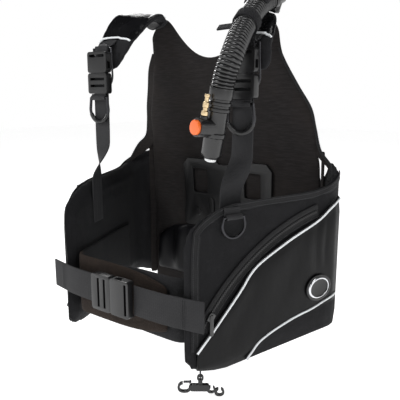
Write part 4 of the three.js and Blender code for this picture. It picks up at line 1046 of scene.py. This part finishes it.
class VEST_OT_side_lining(VestOperator):
    """Lining that runs from the back panel round into each lobe, with the bound edge of the armhole"""
    bl_idname = "vest.side_lining"
    bl_label = "Side lining"

    def make(self):
        for side, hand in HANDS:
            self.sheet(f"{side}_side_lining", *self.seam(hand))
            outer, inner = self.armhole(hand)
            self.sheet(f"{side}_armhole_lining", outer, inner)
            cord = tube(f"{side}_armhole_binding", outer, 0.0026, 10)
            keep(cord, "vest", "webbing", finish("binding_cloth"))

    def seam(self, hand):
        """Two upright lines that close the corner between the back panel and the lobe."""
        outer = []
        inner = []
        for k in range(28):
            z = 18 + 11.5 * k
            out = on_side(350, z, LOBE_OFFSET - 22, hand)
            outer.append(out)
            inner.append(place(203 * hand, 127 - max(0.0, z - 200) * 0.045, z))
        return outer, inner

    def armhole(self, hand):
        """The armhole's edge, and the line inside it where the cloth meets the lobe and the panel."""
        flare = 1.0 if hand < 0 else 0.4
        lines = []
        for lobe, panel in (ARMHOLE_OUTER, ARMHOLE_INNER):
            spots = [on_side(s, z, offset, hand) for s, z, offset in lobe]
            spots += [place(x * hand, y, z) for x, y, z in panel]
            lines.append(curve_through(spots, 6))
        outer = [b.lerp(a, flare) for a, b in zip(*lines)]
        return outer, lines[1]

    def sheet(self, name, outer, inner):
        """A thin cloth between two lines."""
        points = []
        for a, b in zip(outer, inner):
            points += [a.lerp(b, t / 4) for t in range(5)]
        faces = []
        for row in range(len(outer) - 1):
            faces += [(k, k + 1, k + 6, k + 5) for k in range(row * 5, row * 5 + 4)]
        piece = new_mesh(name, points, faces)
        apply(piece, "SOLIDIFY", thickness=0.003, offset=0)
        apply(piece, "SUBSURF", levels=1, render_levels=1)
        in_edit(piece, (bpy.ops.mesh.normals_make_consistent, {"inside": False}))
        smooth(piece, 60)
        keep(piece, "vest", "lining_fabric", finish("lining_cloth"))


class VEST_OT_cummerbund(VestOperator):
    """Both halves of the cummerbund"""
    bl_idname = "vest.cummerbund"
    bl_label = "Cummerbund"

    def make(self):
        for side, look in (("left", "cummerbund_grey"), ("right", "cummerbund_brown")):
            node = f"{side}_cummerbund"
            piece = copied(node, f"{node}_cloth")
            apply(piece, "SUBSURF", levels=2, render_levels=2)
            smooth(piece, 80)
            keep(piece, "vest", look, finish(look), node)
            # Faces further back than the front end take the darker shell cloth: painted shade on the run of
            # the cummerbund inside the vest
            piece.data.materials.append(finish("shell_cloth"))
            for face in piece.data.polygons:
                face.material_index = 1 if face.center.y > -0.325 else 0


class VEST_OT_shoulders(VestOperator):
    """Shoulder pads: coated top panel, plain cloth sides and pale piping"""
    bl_idname = "vest.shoulders"
    bl_label = "Shoulder pads"

    def make(self):
        for side, hand in HANDS:
            node = f"{side}_shoulder_pad"
            rise = 0.008 if hand < 0 else 0.0
            pad = settled(node, voxel=0.0038, inset=0.0006, cap=0.003, spare=0.03, relax=4)
            if hand < 0:
                self.flare(pad)
            keep(pad, "vest", "pad_vinyl", finish("pad_vinyl"), node)
            pad.data.materials.append(finish("pad_cloth"))
            panel_end = 0.3185 + rise
            for face in pad.data.polygons:
                outside = face.normal.z > 0.12 or face.normal.y < -0.35
                face.material_index = 0 if outside and face.center.z > panel_end else 1
            for label, start, end in self.pipings(rise):
                line = []
                for k in range(41):
                    spot = start.lerp(end, k / 40)
                    spot.x *= hand
                    hit, where, up, _ = pad.ray_cast(spot + Vector((0, 0, 0.09)), Vector((0, 0, -1)))
                    if hit:
                        over_tab = label == "front" and abs(abs(where.x) - 0.158) < 0.022
                        line.append(where + up * (0.0032 if over_tab else 0.0006))
                if len(line) < 4:
                    raise RuntimeError(f"the {side} pad's {label} piping finds no pad under it")
                cord = tube(f"{side}_pad_{label}_piping", line, trim().piping * 1.1, 12)
                keep(cord, "vest", "pad_vinyl", finish("piping"))

    def flare(self, pad):
        """Lifts the outer edge of the wearer's right pad, which stands away from the shoulder."""
        points = coordinates(pad)
        out = np.clip((np.abs(points[:, 0]) - 0.105) / 0.088, 0, 1)
        back = np.clip((points[:, 1] + 0.218) / 0.05, 0, 1)
        rear = 1 - 0.35 * np.clip((points[:, 1] + 0.15) / 0.04, 0, 1)
        points[:, 2] += 0.034 * out * (back * back * (3 - 2 * back)) * rear
        move_to(pad, points)

    def pipings(self, rise):
        lift = Vector((0, 0, rise))
        return (
            ("front", place(100, -37, 524) + lift, place(198, -43, 514) + lift),
            ("rear", place(90, 38, 584) + lift, place(158, 30, 562) + lift),
        )


class VEST_OT_webbing(VestOperator):
    """Belts, straps, tabs, loops and the carrying handle"""
    bl_idname = "vest.webbing"
    bl_label = "Webbing"

    def make(self):
        for side, _ in HANDS:
            for node in ("belt", "lobe_ring_tab"):
                woven(f"{side}_{node}", "webbing", finish("belt_webbing"))
            for node in ("shoulder_tail", "shoulder_strap", "shoulder_tab"):
                woven(f"{side}_{node}", "webbing", finish("strap_webbing"))
        woven("tank_band", "webbing", finish("belt_webbing"))
        woven("grab_handle", "webbing", finish("belt_webbing"))
        rounded_rod("clip_loop", "webbing", finish("strap_webbing"))
        for side, hand in HANDS:
            self.bars(side, hand)

    def bars(self, side, hand):
        """Stitched bars near the belt's sewn end."""
        rows = []
        for x, y in ((136, -192.6), (139.5, -192.0)):
            line = [place(x * hand, y - 0.6, 84 + 48 * k / 12) for k in range(13)]
            rows.append((line, [Vector((-0.2 * hand, -1, 0)).normalized()] * 13))
        keep(stitches(f"{side}_belt_stitching", rows, 0.0004), "vest", "webbing", finish("dark_thread"))


class VEST_OT_buckles(VestOperator):
    """Side-release buckles and the tank band's cam buckle"""
    bl_idname = "vest.buckles"
    bl_label = "Buckles"

    def make(self):
        for node in (
            "waist_buckle_female", "waist_buckle_male",
            "left_shoulder_buckle_female", "left_shoulder_buckle_male",
            "right_shoulder_buckle_female", "right_shoulder_buckle_male", "cam_base", "cam_lever",
        ):
            moulded(node, "buckle_plastic", finish("buckle_plastic"), 0.0013, segments=3)


class VEST_OT_rings(VestOperator):
    """Steel rings"""
    bl_idname = "vest.rings"
    bl_label = "Rings"

    def make(self):
        for side, hand in HANDS:
            for node, width, height, wire in (
                ("lobe_ring", 45, 36, 2.2), ("pull_ring", 54, 50, 2.75), ("edge_ring", 54, 78, 1.8),
            ):
                self.bend(f"{side}_{node}", width, height, wire, hand)
            self.grip(side)

    def bend(self, node, width, height, wire, hand):
        """A ring of round wire with one straight side, as tall and wide as the node."""
        low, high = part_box(node)
        middle = (Vector(low) + Vector(high)) / 2
        across = Vector((HEADING[0], HEADING[1] * hand, 0)) if "lobe" in node else Vector((1, 0, 0))
        half = width / 2 - wire
        drop = height - 2 * wire
        straight = max(drop - half, 2)
        flat = [(x, 0.0) for x in (-half + wire, -half * 0.4, half * 0.4, half - wire)]
        for k in range(49):
            turn = math.pi * k / 48
            flat.append((half * math.cos(turn), -straight - (drop - straight) * math.sin(turn)))
        top = high[2] - wire / 1000
        start = Vector((middle.x, middle.y, top))
        line = [start + across * (x / 1000) + Vector((0, 0, z / 1000)) for x, z in flat]
        ring = tube(f"{node}_wire", line, wire / 1000, 18, True)
        keep(ring, body_of(node), "steel_rings", finish("ring_steel"), node)

    def grip(self, side):
        """Knurled rubber sleeve round the lower half of the pull ring."""
        low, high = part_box(f"{side}_pull_ring")
        middle = (Vector(low) + Vector(high)) / 2
        half = (high[0] - low[0]) / 2 - (high[1] - low[1]) / 2
        foot = low[2] + (high[1] - low[1]) / 2
        points = []
        radii = []
        for k in range(73):
            turn = math.pi + math.pi * (0.12 + 0.76 * k / 72)
            across = half * math.cos(turn)
            points.append(Vector((middle.x + across, middle.y, foot + half * (1 + math.sin(turn)))))
            radii.append(0.0041 - 0.0005 * (k % 2) - (0.0007 if k in (0, 72) else 0))
        sleeve = tube(f"{side}_ring_grip", points, radii, 16)
        keep(sleeve, body_of(f"{side}_pull_ring"), "grip_rubber", finish("grip_rubber"))


class VEST_OT_hose(VestOperator):
    """Corrugated hose, its keeper, the shoulder elbow and the elbow's cover"""
    bl_idname = "vest.hose"
    bl_label = "Hose"

    def make(self):
        line = curve_through([place(*p) for p in HOSE_LINE], 40)
        spots = np.array([tuple(p) for p in line])
        for _ in range(HOSE_SMOOTHING):
            spots[1:-1] = (spots[:-2] + 2 * spots[1:-1] + spots[2:]) / 4
        line = [Vector(p) for p in spots]
        lengths = [0.0]
        for a, b in zip(line, line[1:]):
            lengths.append(lengths[-1] + (b - a).length)
        pitch = trim().hose_pitch
        ribs = round(lengths[-1] / pitch)
        steps = 8
        points = []
        radii = []
        at = 0
        for k in range(ribs * steps + 1):
            want = lengths[-1] * k / (ribs * steps)
            while at < len(lengths) - 2 and lengths[at + 1] < want:
                at += 1
            share = (want - lengths[at]) / (lengths[at + 1] - lengths[at])
            points.append(line[at].lerp(line[at + 1], min(1.0, share)))
            radii.append(HOSE_VALLEY + HOSE_RIB * abs(math.sin(math.pi * k / steps)) ** 0.6)
        hose = tube("hose_rubber_tube", points, radii, 36)
        smooth(hose, 70)
        hose.data.materials.append(finish("hose_rubber"))
        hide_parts("hose_upper", "hose_lower")
        joint = place(*HOSE_LINE[HOSE_JOINT])
        before = place(*HOSE_LINE[HOSE_JOINT - 1]) - joint
        after = place(*HOSE_LINE[HOSE_JOINT + 1]) - joint
        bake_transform(hose)
        moulded("hose_keeper", "cover_fabric", finish("pad_cloth"), 0.0006)
        moulded("shoulder_elbow", "valve_plastic", finish("inflator_plastic"), 0.0008)
        cover = copied("elbow_cover", "elbow_cover_cloth")
        apply(cover, "SUBSURF", levels=2, render_levels=2)
        smooth(cover, 60)
        keep(cover, "vest", "cover_fabric", finish("pad_cloth"), "elbow_cover")


class VEST_OT_inflator(VestOperator):
    """Inflator body, its buttons and the hose nipple"""
    bl_idname = "vest.inflator"
    bl_label = "Inflator"

    def make(self):
        moulded("inflator_body", "valve_plastic", finish("inflator_plastic"), 0.0006, angle=35)
        moulded("inflate_button", "button_orange", finish("orange_plastic"), 0.0011, segments=4)
        moulded("deflate_button", "button_white", finish("pale_plastic"), 0.0008, segments=3)
        moulded("inflator_nipple", "nipple_metal", finish("warm_metal"), 0.0003)


class VEST_OT_rear_gear(VestOperator):
    """Tank pad and rear dump valve"""
    bl_idname = "vest.rear_gear"
    bl_label = "Rear gear"

    def make(self):
        moulded("tank_pad", "grip_rubber", finish("grip_rubber"), 0.0012)
        moulded("dump_valve", "valve_plastic", finish("plate_plastic"), 0.001, segments=3)
        moulded("dump_knob", "valve_plastic", finish("buckle_plastic"), 0.0012, segments=3)


class VEST_OT_clip(VestOperator):
    """Gear clip and its wire gate"""
    bl_idname = "vest.clip"
    bl_label = "Gear clip"

    def make(self):
        moulded("clip_body", "clip_plastic", finish("buckle_plastic"), 0.0009, segments=3)
        moulded("clip_gate", "gate_metal", finish("ring_steel"), 0.0004)


class VEST_OT_stage(VestOperator):
    """Pale floor, soft studio light and the camera"""
    bl_idname = "vest.stage"
    bl_label = "Stage"

    def make(self):
        scene = bpy.context.scene
        floor_height = CAD_BOX[0][2] - FLOOR_GAP
        bpy.ops.object.select_all(action="DESELECT")
        bpy.ops.mesh.primitive_plane_add(size=12, location=(0, 0, floor_height))
        floor = bpy.context.object
        floor.name = "studio_floor"
        r = Recipe("studio_paper")
        tone = r.noise(3.0, 2.0)
        floor.data.materials.append(r.finish(
            Base_Color=r.mix(tone * 0.3, (0.93, 0.93, 0.93), (0.88, 0.88, 0.885)), Roughness=0.9,
            Emission_Color=(1.0, 1.0, 1.0), Emission_Strength=FLOOR_GLOW))
        world = scene.world or bpy.data.worlds.new("studio")
        scene.world = world
        world.use_nodes = True
        tree = world.node_tree
        facing = tree.nodes.new("ShaderNodeTexCoord")
        split = tree.nodes.new("ShaderNodeSeparateXYZ")
        fade = tree.nodes.new("ShaderNodeMapRange")
        fade.interpolation_type = "SMOOTHSTEP"
        for socket, value in zip(fade.inputs[1:5], SKY_FADE):
            socket.default_value = value
        tree.links.new(facing.outputs["Generated"], split.inputs[0])
        tree.links.new(split.outputs["Z"], fade.inputs[0])
        sky = tree.nodes["Background"]
        sky.inputs[0].default_value = (1, 1, 1, 1)
        tree.links.new(fade.outputs[0], sky.inputs[1])
        aim = Vector(LAMP_AIM)
        for name, spot, size, power in LAMPS:
            data = bpy.data.lights.new(name, "AREA")
            data.size = size
            data.energy = power
            lamp = bpy.data.objects.new(name, data)
            scene.collection.objects.link(lamp)
            lamp.location = spot
            lamp.rotation_euler = (aim - Vector(spot)).to_track_quat("-Z", "Y").to_euler()
        back = Vector(CAMERA_BACK).normalized()
        right = Vector(CAMERA_RIGHT).normalized()
        up = back.cross(right)
        data = bpy.data.cameras.new("camera")
        data.sensor_width = 36
        data.lens = CAMERA_LENS
        camera = bpy.data.objects.new("camera", data)
        scene.collection.objects.link(camera)
        turn = Matrix((right, up, back)).transposed().to_4x4()
        camera.matrix_world = Matrix.Translation(place(*CAMERA_SPOT)) @ turn
        scene.camera = camera
        scene.view_settings.view_transform = "Standard"


OPERATORS = (
    VEST_OT_stage, VEST_OT_lobes, VEST_OT_pockets, VEST_OT_zips, VEST_OT_badge, VEST_OT_back,
    VEST_OT_side_lining, VEST_OT_cummerbund, VEST_OT_shoulders, VEST_OT_webbing, VEST_OT_buckles,
    VEST_OT_rings, VEST_OT_hose, VEST_OT_inflator, VEST_OT_rear_gear, VEST_OT_clip,
)


class VEST_PT_panel(bpy.types.Panel):
    """Lists the vest's pieces and settings"""
    bl_idname = "VEST_PT_panel"
    bl_label = "Diving vest"
    bl_space_type = "VIEW_3D"
    bl_region_type = "UI"
    bl_category = "Vest"

    def draw(self, context):
        for name, group in SETTINGS:
            box = self.layout.box()
            for key in group.__annotations__:
                box.prop(getattr(context.scene, name), key)
        for operator in OPERATORS:
            self.layout.operator(operator.bl_idname)


def register():
    for name, group in SETTINGS:
        bpy.utils.register_class(group)
        setattr(bpy.types.Scene, name, bpy.props.PointerProperty(type=group))
    for operator in OPERATORS:
        bpy.utils.register_class(operator)
    bpy.utils.register_class(VEST_PT_panel)


def unregister():
    bpy.utils.unregister_class(VEST_PT_panel)
    for operator in reversed(OPERATORS):
        bpy.utils.unregister_class(operator)
    for name, group in reversed(SETTINGS):
        delattr(bpy.types.Scene, name)
        bpy.utils.unregister_class(group)


def main():
    register()
    for operator in OPERATORS:
        group, name = operator.bl_idname.split(".")
        getattr(getattr(bpy.ops, group), name)()


if __name__ == "__main__":
    main()
